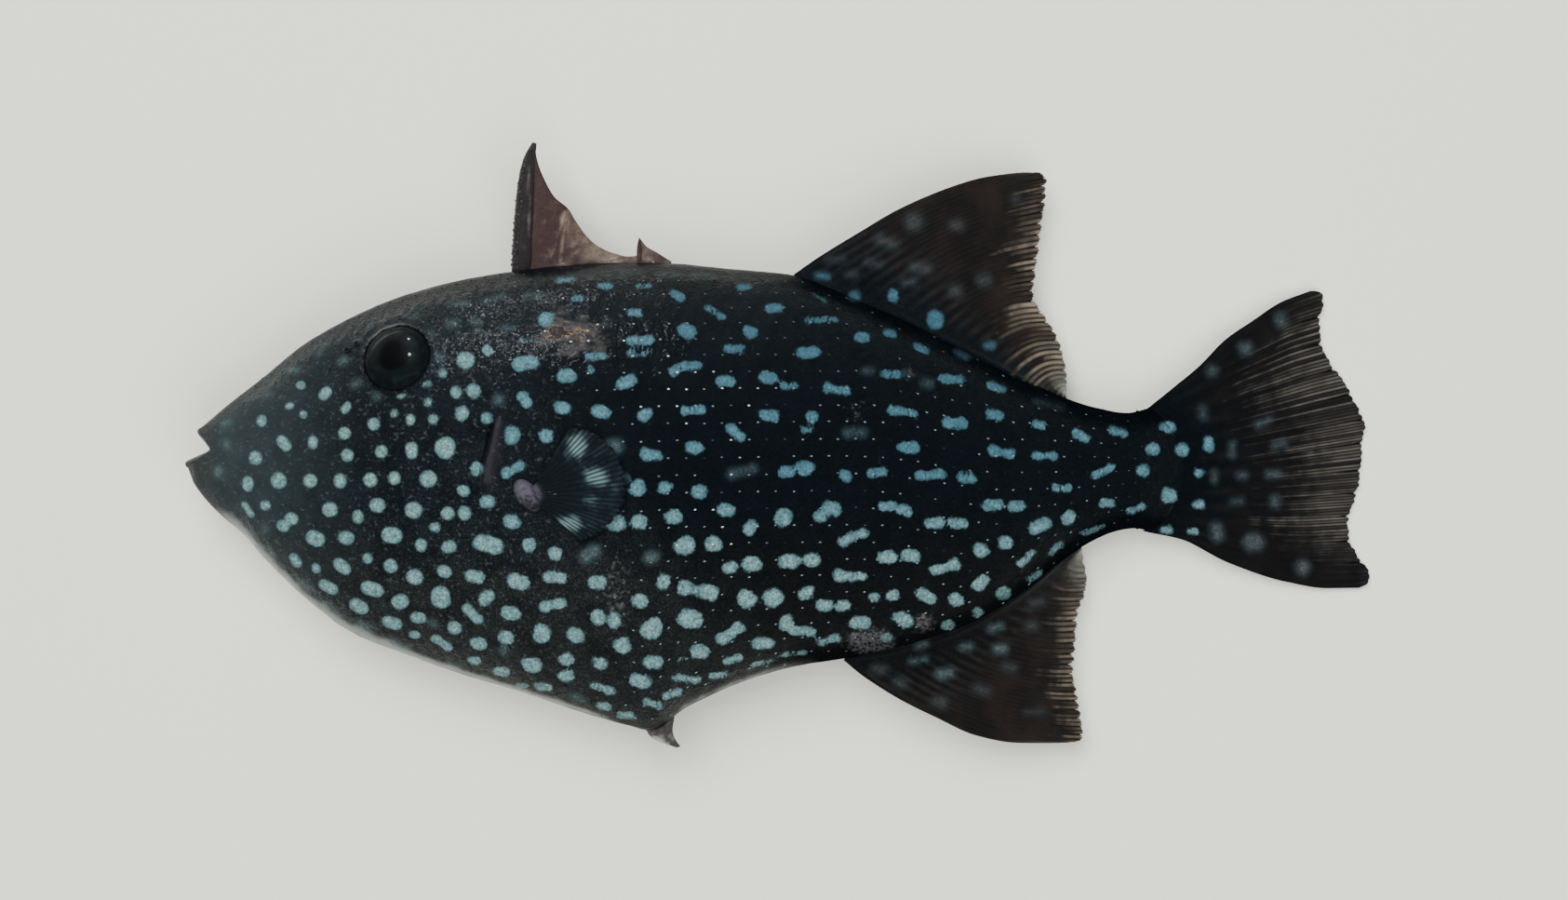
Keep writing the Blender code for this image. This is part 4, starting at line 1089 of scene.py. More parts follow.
FAINT_SPOTS = (
    (-151, -7.2, 3.4, 4), (-148.3, 0.2, 2.4, 3.2), (-149, 6, 4, 2.6, 20), (-130.7, 19.9, 4, 2.4),
    (-137.1, 13.4, 2.8, 1.8, 15), (-143, 13, 2, 1.4, 30), (-107.2, 12.8, 3, 3), (-90.7, 23, 2.8, 2.8),
    (-113, 16.2, 3.6, 2.4, 20), (-116.9, 22.3, 3.4, 3, 30), (-123.2, 25.4, 3.4, 1.5, 70),
    (-113.2, 27.8, 2.6, 2), (-93, 29.2, 3.2, 1.6, -60), (-98.2, 33.6, 2.6, 1.5), (-87.8, 32, 4, 2.6),
    (-86, 37.5, 5, 2, 5), (-77, 38.9, 6, 2, 20), (-66.6, 39.8, 4.2, 1.8), (-81.3, 32.5, 3.6, 1.8),
    (-73, 31, 3.8, 2, -10), (-138.1, -22.4, 2, 2.2), (-93, -47.6, 2.8, 2.4), (-74.8, 11.8, 3.4, 3.2),
    (-112, -48.2, 5.2, 2.6, -22), (-127.8, -37.8, 5, 2.4, -42), (-120.5, -44.3, 7, 2.4, -38),
    (-102.5, -53.5, 6.4, 2.2, -25), (-137.5, -28.5, 4, 2.2, -45), (-88.3, -58.8, 4.4, 2, -15),
    (-50.9, -28.6, 6.8, 4, 30), (-34.8, -29.6, 4.6, 3.6, 20), (-44.7, -0.6, 5.8, 4.4),
    (-43.2, -9.4, 4.6, 3, 20), (-55, -67.7, 5, 2.4, -30), (-74.3, -54.9, 2.8, 2.8), (-41.5, 46.6, 6, 1.4),
    (-31.3, 45.6, 5.2, 2), (-22, 45.4, 6.4, 2.2), (-2.2, 44.4, 5.6, 2.2), (22.2, 19.6, 3.6, 2),
    (32.6, 19, 3, 2.2), (38, 16.4, 3.8, 2.4), (18.6, 3, 6.8, 3), (-11, -7, 8.4, 3, 14),
    (71.4, 11, 8.4, 1.8, -14),
)
DORSAL_FIN_SPOTS = (
    (29.3, 40.2, 3.6, 4), (40.8, 33.6, 5, 5.8),
)
DIM_DORSAL_SPOTS = (
    (18.8, 39.6, 3.6, 3.8), (55.4, 26.7, 3.4, 2.6), (10.4, 45.2, 4.4, 2.4, -10),
)
FADED_DORSAL_SPOTS = (
    (18.4, 45.8, 3.4, 1.8), (13.9, 49.9, 5.6, 2), (24, 48.8, 5.4, 2.2, -15), (27.5, 54.6, 7, 3.4, -20),
    (35, 60, 5.6, 5.2), (46.6, 59.2, 4.4, 3.4), (36.6, 47.6, 6.4, 3.4, -10), (33.6, 43.8, 4.4, 2.2),
    (46.2, 41.4, 4.4, 3.6), (54, 44.4, 4.6, 3.8), (63, 66.6, 2.6, 2.4),
)
ANAL_FIN_SPOTS = (
    (57, -49.2, 5, 2.4, 10), (43.4, -61.6, 5.6, 3.2, 5), (49, -54.4, 4, 2.2), (36.2, -58, 5.6, 1.9, 8),
    (37, -53.8, 3.8, 1.9, 20), (58.4, -55.2, 4.6, 3),
)
FADED_ANAL_SPOTS = (
    (67, -49, 4.2, 3.2), (68.4, -42.6, 5.4, 3, 15), (25.6, -60.2, 5, 3), (31.2, -64, 4.6, 3, -20),
    (42, -69.2, 4.8, 3.8, -20), (53.4, -66.2, 5.4, 3.2, -20), (61, -60.2, 4.8, 2.6, -15),
    (68, -72.4, 6.4, 1.6),
)
CAUDAL_SPOTS = (
    (108.4, -1.4, 4.4, 4.2), (104.4, 4.8, 4.8, 3.4), (104.8, -13.8, 5.4, 4.8), (113, -7.6, 3.4, 3),
    (113.2, -16.4, 4, 3.2, 20), (104.2, -23.2, 4, 2.4), (111.6, -23.6, 3.6, 2.4), (116, 0.2, 3, 4.8),
)
FADED_CAUDAL_SPOTS = (
    (114.4, 8.8, 2.6, 4.2), (122.6, -1.4, 2.4, 5), (117.6, -8.6, 2.2, 4), (118.4, -23.8, 3.8, 6, 10),
    (128.6, -26.6, 6.4, 5.4), (124, -15.4, 4.2, 2), (134.6, -15.6, 3, 4), (134, -8, 4.6, 2.6),
    (131.4, 6.2, 5.6, 2.6, 25), (135.8, 0, 5, 2.4, 15), (116.8, 20.2, 3.6, 3.4), (126.4, 26.4, 4.6, 4),
    (136, 34.4, 4, 4.6), (142.4, -33.6, 4.4, 4.8), (125.6, -8.4, 3.4, 2.2),
)


@dataclass(frozen=True)
class Bars:
    """Pale spots, each a bar with round ends and perhaps a waist, and how strongly each shows."""

    ends: Array
    radius: Array
    waist: Array
    strength: Array
    farthest: float = 4.0

    @classmethod
    def placed(cls, *groups: tuple[tuple, float]) -> "Bars":
        """Makes bars of spots.

        Args:
            groups: Groups of spots, each given with the strength that its spots share.

        Returns:
            One bar for each spot, in their order.
        """
        rows = [((*spot, 0)[:5], strength) for spots, strength in groups for spot in spots]
        x, y, wide, tall, turn = np.array([row for row, _ in rows]).T
        turn = np.radians(turn + np.where(tall > wide, 90, 0))
        ahead = 0.5 * np.abs(wide - tall) * np.array([np.cos(turn), np.sin(turn)])
        ends = np.column_stack([x - ahead[0], y - ahead[1], x + ahead[0], y + ahead[1]])
        waist = 0.22 * ease(np.maximum(wide, tall) / np.minimum(wide, tall), 1.6, 2.4)
        return cls(ends, 0.5 * np.minimum(wide, tall), waist, np.array([strength for _, strength in rows]))

    def near(self, x: Array, y: Array) -> tuple[Array, Array]:
        """Measures places against the bars.

        Args:
            x: Places along the fish.
            y: Places across it, or round it, as the bars' own are.

        Returns:
            The distance outside the nearest bar's edge, negative inside it, and that bar's strength.
        """
        order = np.argsort(x)
        sorted_x = x[order]
        found = np.full(len(x), self.farthest)
        strength = np.zeros(len(x))
        for (x0, y0, x1, y1), radius, waist, shows in zip(self.ends, self.radius, self.waist, self.strength):
            reach = radius + self.farthest
            low, high = np.searchsorted(sorted_x, (min(x0, x1) - reach, max(x0, x1) + reach))
            part = order[low:high]
            away, t = near_stretch(x[part], y[part], (x0, y0), (x1, y1))
            away -= radius * (1 - 4 * waist * t * (1 - t))
            nearer = away < found[part]
            found[part] = np.where(nearer, away, found[part])
            strength[part] = np.where(nearer, shows, strength[part])
        return found, strength


@dataclass
class Markings:
    """The pale spots and worn patches of the skin, with painted glints, painted sheen along the belly's edge
    and painted shade along the outline, at places measured along and round the body.
    """

    seed: int = 11
    shift: Pair = (2.6, 1.3)
    most_stretch: float = 1.9
    faint: float = 0.42
    eye_clear: float = 10.2
    far_outside: float = 5.0
    snout: Pair = (-105, -150)
    chin: Pair = (-156, -146)
    throat: Pair = (-112, -92)
    belly_sheen_width: Pair = (5, 2.8)
    rear: Pair = (-10, 10)
    scrape: Blot = (-55.5, 29.5, 9, 5.2, 1)
    # Grazes of the skin; the blots at (-79, 29.5), (-85, 11.5) and (-57, 47.5) are painted glints of wet
    # skin.
    grazes: tuple[Blot, ...] = (
        (-44, -39, 6.5, 16, 0.8), (23, -52.5, 7, 4, 1.9), (19, 9, 4, 5, 0.7), (25.5, -8, 0.9, 9, 0.7),
        (33, 19, 4, 2.6, 0.6), (37.5, -47.5, 3.2, 3, 1.5), (-79, 29.5, 6.5, 2.4, 0.9),
        (-85, 11.5, 2.6, 4, 0.5), (-33, -78, 3, 6, 0.5), (-57, 47.5, 6, 1.2, 0.9),
    )

    def __post_init__(self) -> None:
        """Lays the seen flank's spots round the body, and shifts them a little on the other flank."""
        flat = Bars.placed((BODY_SPOTS + CAUDAL_SPOTS, 1), (FAINT_SPOTS, self.faint))
        x, y = flat.ends[:, ::2], flat.ends[:, 1::2]
        arc = GIRTH.at(x, BODY.angle_at(x, y))
        middle_x, middle_y = x.mean(1), y.mean(1)
        over = GIRTH.at(middle_x, BODY.angle_at(middle_x, middle_y + flat.radius))
        under = GIRTH.at(middle_x, BODY.angle_at(middle_x, middle_y - flat.radius))
        stretch = np.clip((over - under) / (2 * flat.radius), 1, self.most_stretch)
        ends = np.stack([x, arc], -1).reshape(-1, 4)
        radius = flat.radius * np.sqrt(stretch)
        rng = np.random.default_rng(self.seed)
        shift = rng.uniform(-1, 1, (len(ends), 2)) * self.shift
        self.bars = {
            Side.LEFT: Bars(ends, radius, flat.waist, flat.strength),
            Side.RIGHT: Bars(ends + np.tile(shift, 2), radius, flat.waist, flat.strength),
        }

    def paint(self, points: Array, angle: Array, side: Array) -> Paint:
        """Works out every marking at points of the skin or of its scales.

        Args:
            points: The points.
            angle: The section angle of each.
            side: 1 on the left flank and -1 on the right.

        Returns:
            The painted values by name.
        """
        x, y = points[:, 0], points[:, 1]
        round_at = GIRTH.at(x, angle)
        spot, bright = np.zeros(len(x)), np.zeros(len(x))
        for flank, bars in self.bars.items():
            part = side == flank.value
            spot[part], bright[part] = bars.near(x[part], round_at[part])
        from_eye = np.hypot(x - Eye.at[0], y - Eye.at[1])
        spot += self.far_outside * ease(from_eye, self.eye_clear, self.eye_clear - 2)
        from_back, from_belly = BODY.back.at(x) - y, y - BODY.belly.at(x)
        bright *= mix(1, 0.55, ease(from_back, 7, 0)) * mix(0.85, 1, ease(from_eye, 10, 18))
        haze = 0.75 * ease(x, *self.snout) * mix(0.8, 1, ease(y, -30, 5))
        # Painted sheen along the belly's edge, narrower towards the tail.
        belly_sheen_width = mix(*self.belly_sheen_width, ease(x, *self.throat))
        belly_rim = ease(from_belly / belly_sheen_width, 1, 0.1) * mix(0.35, 1, ease(from_belly, 0.1, 0.6))
        behind_keel = 0.6 * ease(x, -31, -26) * ease(x, 10, -6)
        belly_rim *= ease(x, *self.chin) * np.maximum(ease(x, -44, -52), behind_keel)
        rear = ease(x, *self.rear)
        # shade darkens the skin along its outline: painted shade where the body meets its fins.
        outline = np.minimum(from_back, from_belly)
        shade = ease(outline, mix(5.5, 8, rear), mix(1, 3, rear)) * mix(0.75, 1, rear) * (1 - belly_rim)
        left = ease(side, 0, 1)
        return {
            "spot": spot, "bright": bright, "haze": haze, "belly_rim": belly_rim, "shade": shade,
            "scrape": blots(x, y, (self.scrape,))[0] * left, "graze": blots(x, y, self.grazes).sum(0) * left,
        }


MARKINGS = Markings()


# The sub-assemblies


@dataclass
class Eye:
    """One eye, with the fold of skin round its socket."""

    side: Side
    at: Pair = (-102.2, 22.9)
    radius: float = 9.9
    half_depth: float = 4.2
    sunk: float = 2.0
    socket: float = 8.9
    steps: int = 72
    shrink: float = 0.995

    @classmethod
    def away(cls, points: Array, side: Side) -> Array:
        """The distance of points from the middle of one side's socket, on the skin."""
        return np.linalg.norm(points - BODY.frame_over(*cls.at, side)[0], axis=-1)

    def build(self) -> Object:
        """Makes the eyeball and sets it in its socket.

        Returns:
            The eye, in place of the solid one.
        """
        origin, axes = BODY.frame_over(*self.at, self.side)
        shell = ball((self.radius, self.radius, self.half_depth), origin, axes, self.sunk, self.steps)
        shell.points = origin + (shell.points - origin) * self.shrink
        name = f"eye_{self.side.name.lower()}"
        return dressed(shell, f"wet_{name}", WET_EYE, "eye", name)


def folds(points: Array) -> Array:
    """Works out the broad folds, and the swelling round each eye.

    Args:
        points: Points of the plain body.

    Returns:
        How far skin and scales stand out of it there.
    """
    x, y = points[..., 0], points[..., 1]
    swollen = sum(0.25 * hill(Eye.away(points, side) - Eye.socket - 2, 2.6) for side in Side)
    return swollen + 0.3 * ripple(x, y, 26, 3) * ease(x, -150, -130) * ease(x, 96, 70)


@dataclass
class Skin:
    """The skin of head, trunk and tail stalk, in one piece, with lips, gill openings and nostrils."""

    flank_steps: int = 190
    throat_rings: int = 9
    lip_rings: int = 13
    face_rings: int = 14
    stalk_rings: int = 10
    fade_rings: float = 6.0
    inset: float = 0.16
    floor_gap: float = 0.1
    mouth_corner: Pair = (-153.4, -1.2)
    upper_lip: Pair = (-157.5, 2.6)
    lower_lip: Pair = (-160.8, -4.2)
    mouth_half_width: Pair = (0.3, 4.6)
    lip_radius: float = 1.0
    lip_turn: float = 75.0
    throat_x: float = -146.5
    throat_half_height: float = 0.9
    throat_width_share: float = 0.55
    face_x: float = -145.0
    socket_depth: float = 4.4
    socket_rim: float = 0.55
    gill_ridge: Line = ((-74.4, 7), (-75.6, 1), (-77, -5), (-77.8, -10.4))
    gill_slit_ahead: float = 1.75
    gill_slit_depth: float = 1.8
    gill_lean: float = 0.195
    groove: Line = ((-123.8, 19.2), (-120, 20), (-116.2, 22))
    groove_depth: float = 0.8
    nostrils: Line = ((-115.9, 25.2), (-113.4, 26.8))
    nostril_radius: float = 0.75
    nostril_rim: float = 0.24
    pitch: Curve = Curve((
        (-145, 0.95), (-115, 0.8), (-86, 0.8), (-81, 0.36), (-73, 0.36), (-68, 1.1), (-20, 1.5), (96, 1.5),
    ))

    def __post_init__(self) -> None:
        """Lays out the angles that every ring shares, up the left flank and down the right."""
        angles = np.linspace(-math.pi / 2, math.pi / 2, self.flank_steps + 1)
        self.angles = np.concatenate([angles, angles[::-1]])
        self.sides = np.concatenate([np.ones(len(angles)), -np.ones(len(angles))])
        self.mouth_rings = self.throat_rings + self.lip_rings

    def _lip_edge(self) -> tuple[Array, Array]:
        """Lays out the mouth's opening.

        Returns:
            Its points round the ring, and the direction out from each across the lip.
        """
        rise, out = np.sin(self.angles), np.maximum(0, np.cos(self.angles))
        front = np.where((self.angles >= 0)[:, None], self.upper_lip, self.lower_lip)
        flat = mix(np.array(self.mouth_corner), front, (rise**2)[:, None])
        edge = np.column_stack([flat, self.sides * mix(*self.mouth_half_width, out)])
        return edge, np.column_stack([np.zeros(len(rise)), rise, self.sides * out])

    def _mouth(self) -> list[Array]:
        """Lays out the throat and the lips.

        Returns:
            Rings from the throat to the lips' outer edge.
        """
        edge, out = self._lip_edge()
        rise = np.sin(self.angles)
        rings = []
        for depth in np.linspace(1, 0.15, self.throat_rings):
            x = mix(edge[:, 0] + 1.6 * self.lip_radius, self.throat_x, depth)
            y = mix(edge[:, 1], self.mouth_corner[1] + self.throat_half_height * rise, depth**0.7)
            z = mix(edge[:, 2], self.throat_width_share * edge[:, 2], depth) + BODY.middle.at(x)
            rings.append(np.column_stack([x, y, z]))
        ahead = np.array([1, 0, 0])
        centre = edge + self.lip_radius * (out + ahead)
        for turn in np.radians(np.linspace(-self.lip_turn, self.lip_turn, self.lip_rings)):
            point = centre + self.lip_radius * (math.sin(turn) * out - math.cos(turn) * ahead)
            point[:, 2] += BODY.middle.at(point[:, 0])
            rings.append(point)
        return rings

    def _leaning(self, x: Array) -> Array:
        """Leans a ring of the body with the gill openings where it passes them.

        Args:
            x: The place along the fish of each of its points, before it leans.

        Returns:
            The ring's points.
        """
        y = BODY.at(x, self.angles, self.sides)[:, 1]
        lean = self.gill_lean * np.clip(y + 2, -16, 16) * hill(x + 78, 10)
        return BODY.at(x + lean, self.angles, self.sides)

    def _grid(self) -> Array:
        """Lays out the plain body with its mouth.

        Returns:
            Rings of points from the throat to the end of the stalk, closest at the gill openings.
        """
        behind_lip = self._lip_edge()[0][:, 0] + self.lip_radius
        face = [mix(behind_lip, self.face_x, share) for share in np.linspace(0.08, 0.95, self.face_rings)]
        flank = [self.face_x]
        while flank[-1] < BODY.stalk_thins_x - 1:
            flank.append(flank[-1] + float(self.pitch.at(np.array(flank[-1]))))
        stalk_end = BODY.stalk_end(self.angles)
        stalk = [mix(BODY.stalk_thins_x, stalk_end, share) for share in np.linspace(0, 1, self.stalk_rings)]
        rings = self._mouth() + [BODY.at(x, self.angles, self.sides) for x in face]
        rings += [self._leaning(np.full(len(self.angles), x)) for x in flank]
        return np.array(rings + [BODY.at(x, self.angles, self.sides) for x in stalk])

    def _relief(self, points: Array) -> Array:
        """Works out folds, sockets, groove and gill opening.

        Args:
            points: The grid of the plain body.

        Returns:
            How far each point stands out of it.
        """
        x, y = points[..., 0], points[..., 1]
        height = folds(points) + 0.05 * ripple(x, y, 4.5, 4) * ease(x, -156, -140)
        for side in Side:
            away = Eye.away(points, side) - Eye.socket
            height += self.socket_rim * hill(away - 0.4, 0.55) - self.socket_depth * ease(away, 0.1, -0.8)
        slit = tuple((px - self.gill_slit_ahead, py) for px, py in self.gill_ridge)
        ridge_away, ridge_share = near_line(x, y, self.gill_ridge)
        slit_away, slit_share = near_line(x, y, slit)
        groove_away, groove_share = near_line(x, y, self.groove)
        ridge = hill(ridge_away, 1) * mix(0.3, 1, ease(from_ends(ridge_share), 0, 0.2))
        on_board = (points[..., 2] < 2.5) & (np.broadcast_to(self.sides, x.shape) < 0)
        height += np.where(on_board, 0, ridge)
        height -= self.gill_slit_depth * ease(slit_away, 0.75, 0.25) * ease(from_ends(slit_share), 0, 0.12)
        height -= self.groove_depth * hill(groove_away, 0.7) * ease(from_ends(groove_share), 0, 0.25)
        return height

    def _nostrils(self) -> list[Shell]:
        """Makes the nostrils of both flanks.

        Returns:
            The raised rim of each, and a dark disc of painted shade in its pit.
        """
        shells = []
        steps = 20
        turn = 2 * math.pi * np.arange(steps) / steps
        circle = np.column_stack([np.cos(turn), np.sin(turn), np.full(steps, 0.02)])
        size = np.full(steps, self.nostril_rim)
        wide = self.nostril_radius * 0.9
        for side in Side:
            for place in self.nostrils:
                origin, axes = BODY.frame_over(*place, side)
                line = origin + self.nostril_radius * circle @ axes
                rim = tube(line, size, size, np.tile(axes[2], (steps, 1)), 8, True)
                pit = ball((wide, wide, 0.25), origin, axes, 0.12, 16)
                pit.paint = {"pit": np.ones(len(pit.points))}
                shells += [rim, pit]
        return shells

    def _paint(self, points: Array, stations: int) -> Paint:
        """Paints the markings, the lips, painted shade in the mouth, eye sockets and at the stalk's end, and
        the gill ridge.

        Args:
            points: The skin's points, ring by ring.
            stations: How many rings there are.

        Returns:
            The painted values by name.
        """
        x, y = points[:, 0], points[:, 1]
        angle, side = np.tile(self.angles, stations), np.tile(self.sides, stations)
        ring = np.repeat(np.arange(stations), len(self.angles))
        paint = MARKINGS.paint(points, angle, side)
        paint["lip"] = 0.75 * ease(np.abs(ring - self.mouth_rings + 5), 9, 3)
        sockets = [ease(Eye.away(points, flank) - Eye.socket, 0.5, 0.1) for flank in Side]
        # Painted shade inside the mouth and down the eye sockets.
        paint["pit"] = np.max([ease(ring.astype(float), 10, 4), *sockets], axis=0)
        ridge_away, share = near_line(x, y, self.gill_ridge)
        paint["gill"] = 0.85 * hill(ridge_away, mix(1, 1.7, share)) * ease(from_ends(share), -0.02, 0.06)
        # Painted shade where the stalk meets the caudal fin.
        paint["shade"] = np.maximum(paint["shade"], 0.5 * ease(BODY.stalk_end(angle) - x, 1.2, 0.2))
        return paint

    def build(self) -> Object:
        """Makes the skin.

        Returns:
            The skin, in place of the solid head, trunk and tail stalk.
        """
        grid = self._grid()
        stations, count = grid.shape[:2]
        around = np.roll(grid, -1, axis=1) - np.roll(grid, 1, axis=1)
        out = np.cross(np.gradient(grid, axis=0), around)
        length = np.linalg.norm(out, axis=-1, keepdims=True)
        out = np.where(length > 1e-6, out / np.maximum(length, 1e-6), 0)
        fade = np.clip((np.arange(stations) - self.mouth_rings) / self.fade_rings, 0, 1)[:, None]
        grid = grid + out * ((self._relief(grid) - self.inset) * fade)[..., None]
        grid[..., 2] = np.maximum(grid[..., 2], self.floor_gap)
        k = np.arange(count // 2 - 1)
        first = np.stack([k + 1, k, count - 1 - k, count - 2 - k], -1)
        quads = np.concatenate([ring_faces(stations, count), first, first[:, ::-1] + (stations - 1) * count])
        points = grid.reshape(-1, 3)
        shell = Shell(points, quads, paint=self._paint(points, stations)).outward()
        skin = joined([shell, *self._nostrils()])
        obj = dressed(skin, "skin", WET_SKIN, "skin", "head", "trunk", "tail_stalk")
        obj.data.set_sharp_from_angle(angle=math.radians(60))
        return obj


@dataclass
class ScaleCoat:
    """The small keeled plates of one flank, each a closed plate set into the skin."""

    side: Side
    pitch: Curve = Curve((
        (-148, 2.9), (-110, 3.3), (-80, 4), (-50, 4.7), (60, 4.7), (85, 4), (100, 3.2),
    ))
    tall: float = 0.97
    cells: int = 4
    corner_round: float = 0.1
    thickness: float = 0.07
    rear_rise: float = 0.03
    rim_sunk: float = 0.19
    keel_at: float = 0.12
    keel_half: Triple = (0.19, 0.06, 0.2)
    keel_base: float = 0.04
    # Keels near this line get a painted glint of the sun.
    sunlit: Line = ((-62, 33), (-40, 23), (-20, 8), (-24, -20))
    first_x: float = -146.0
    last_x: float = 107.0
    place_seed: int = 5
    jitter: Pair = (0.12, 0.15)
    size_seed: int = 9
    size_swing: Pair = (0.94, 1.03)
    full_pitch: float = 4.7
    floor_gap: float = 0.03
    eye_clear: float = 3.2
    gill_clear: float = 2.0
    slit_clear: float = 1.8
    stalk_clear: float = 2.0
    lobe_clear: float = 4.4
    nostril_clear: float = 1.7
    patch: float = 0.003

    def __post_init__(self) -> None:
        """Notes the flank's sign."""
        self.sign = float(self.side.value)

    def _roots(self) -> tuple[Array, Array, Array, Array]:
        """Lays the plates out in staggered columns, clear of eye, gill, pectoral fin and nostrils.

        Returns:
            Each plate's x, section angle, distance round the body and pitch.
        """
        found: list[tuple[float, float, float, float]] = []
        rng = np.random.default_rng(self.place_seed + self.side.value)
        shift_x, shift_arc = self.jitter
        x, column = self.first_x, 0
        while x < self.last_x:
            pitch = float(self.pitch.at(np.array(x)))
            tall = 2 * pitch * self.tall
            low, high = GIRTH.at(np.full(2, x), GIRTH.angles[[0, -1]])
            rows = np.arange(math.floor(low / tall) - 1, math.ceil(high / tall) + 2) + 0.5 * (column % 2)
            arcs = rows * tall
            arcs = arcs[(arcs > low + 0.4 * pitch) & (arcs < high - 0.4 * pitch)]
            places = x + rng.uniform(-shift_x, shift_x, len(arcs))
            arcs = arcs + rng.uniform(-shift_arc, shift_arc, len(arcs))
            found += [(px, a, s, pitch) for px, a, s in zip(places, GIRTH.angle(x, arcs), arcs)]
            x += pitch / 2
            column += 1
        x, angle, arc, pitch = np.array(found).T
        points = BODY.at(x, angle, self.sign)
        y = points[:, 1]
        keep = Eye.away(points, self.side) > Eye.socket + self.eye_clear
        keep &= near_line(x, y, Skin.gill_ridge)[0] > self.gill_clear
        keep &= near_line(x + Skin.gill_slit_ahead, y, Skin.gill_ridge)[0] > self.slit_clear
        keep &= x < BODY.stalk_end(angle) - self.stalk_clear
        keep &= np.hypot(x - PectoralFin.lobe_at[0], y - PectoralFin.lobe_at[1]) > self.lobe_clear
        for at_x, at_y in Skin.nostrils:
            keep &= np.hypot(x - at_x, y - at_y) > self.nostril_clear
        return x[keep], angle[keep], arc[keep], pitch[keep]

    def _outline(self) -> tuple[Array, Array, Array]:
        """Shapes one plate, a low dome in the shape of a diamond, and the small keel that stands on it.

        Returns:
            Each point's place along the plate and across it, -1 to 1, and its height.
        """
        steps = np.linspace(-1, 1, self.cells + 1)
        a, b = (g.ravel() for g in np.meshgrid(steps, steps, indexing="ij"))
        shrink = 1 - self.corner_round * (a * b) ** 2
        along, up = (a + b) / 2 * shrink, (a - b) / 2 * shrink
        rim = np.maximum(np.abs(a), np.abs(b))
        dome = self.thickness * (1 - rim**2.2) + self.rear_rise * (1 - rim**4) * (1 + along)
        long, wide, tall = self.keel_half
        keel_along = self.keel_at + long * np.array([-1, 1, 0, 0, 0, 0])
        keel_up = wide * np.array([0, 0, -1, 1, 0, 0])
        keel_rise = self.thickness + self.keel_base + tall * np.array([-0.2, -0.2, -0.2, -0.2, 1, -0.8])
        return np.append(along, keel_along), np.append(up, keel_up), np.append(dome, keel_rise)

    def _faces(self) -> tuple[Array, Array]:
        """Lists the faces of one plate and its keel.

        Returns:
            Its four-sided and its three-sided faces.
        """
        side = self.cells + 1
        corner = np.arange(side * side).reshape(side, side)
        loop = grid_rim(corner)
        under = [(loop[0], loop[n + 1], loop[n]) for n in range(1, len(loop) - 1)]
        front, rear, low, high, tip, foot = range(side * side, side * side + 6)
        ring = (front, high, rear, low)
        for first, second in zip(ring, ring[1:] + ring[:1]):
            under += [(first, second, tip), (second, first, foot)]
        return grid_faces(corner), np.array(under)

    def _shown(self, x: Array, y: Array, rng: np.random.Generator) -> Array:
        """Picks the keels that show pale, partly as painted glint, and those that get a bright painted glint
        where the sun catches them.

        Args:
            x: Each plate's place along the fish.
            y: Its place across it.
            rng: Where the chances come from.

        Returns:
            How strongly each keel shows.
        """
        pale = ease(x, -60, -35) * ease(x, 100, 80) * ease(rng.uniform(0, 1, len(x)), 0.1, 0.7)
        pale = pale * mix(1, 0.35, ease(y, 14, 26))
        # Above 1, the value paints a glint of the sun on a wet keel.
        from_sun, _ = near_line(x, y, self.sunlit)
        return pale + 1.8 * hill(from_sun, 11) * ease(rng.uniform(0, 1, len(x)), 0.45, 0.85)

    def build(self) -> Object:
        """Makes the flank's plates as one object with a patch of the unwrap for each plate.

        Returns:
            The plates.
        """
        x, angle, arc, pitch = self._roots()
        along, up, rise = self._outline()
        rng = np.random.default_rng(self.size_seed + self.side.value)
        size = 0.5 * pitch * rng.uniform(*self.size_swing, len(x))
        step = 0.004
        per_angle = (GIRTH.at(x, angle + step) - GIRTH.at(x, angle - step)) / (2 * step)
        per_angle = np.maximum(per_angle, 6)
        vert_x = x[:, None] + size[:, None] * along
        vert_angle = angle[:, None] + (2 * self.tall * size[:, None] * up) / per_angle[:, None]
        vert_angle = np.clip(vert_angle, -math.pi / 2 + 0.005, math.pi / 2 - 0.005)
        height = rise * (0.5 + 0.5 * pitch[:, None] / self.full_pitch) - self.rim_sunk
        base = BODY.at(vert_x, vert_angle, self.sign)
        out = BODY.normal(vert_x, vert_angle, np.full(vert_x.shape, self.sign))
        points = base + out * (height + folds(base))[..., None]
        points[..., 2] = np.maximum(points[..., 2], self.floor_gap)
        points = points.reshape(-1, 3)
        paint = MARKINGS.paint(points, vert_angle.ravel(), np.full(len(points), self.sign))
        shown = self._shown(x, BODY.at(x, angle, self.sign)[:, 1], rng)
        is_keel = np.arange(len(along)) >= (self.cells + 1) ** 2
        paint["keel"] = (shown[:, None] * is_keel).ravel()
        paint["gill"] = 0.85 * hill(near_line(points[:, 0], points[:, 1], Skin.gill_ridge)[0], 1.5)
        starts = np.arange(len(x))[:, None, None] * len(along)
        quads, triangles = self._faces()
        quads, triangles = (quads + starts).reshape(-1, 4), (triangles + starts).reshape(-1, 3)
        shell = Shell(points, quads, triangles, paint).outward()
        obj = dressed(shell, f"scales_{self.side.name.lower()}", WET_SKIN, "skin")
        obj.data.set_sharp_from_angle(angle=math.radians(50))
        self._unwrap(obj, np.column_stack([x, arc]), np.column_stack([along, up]))
        return obj

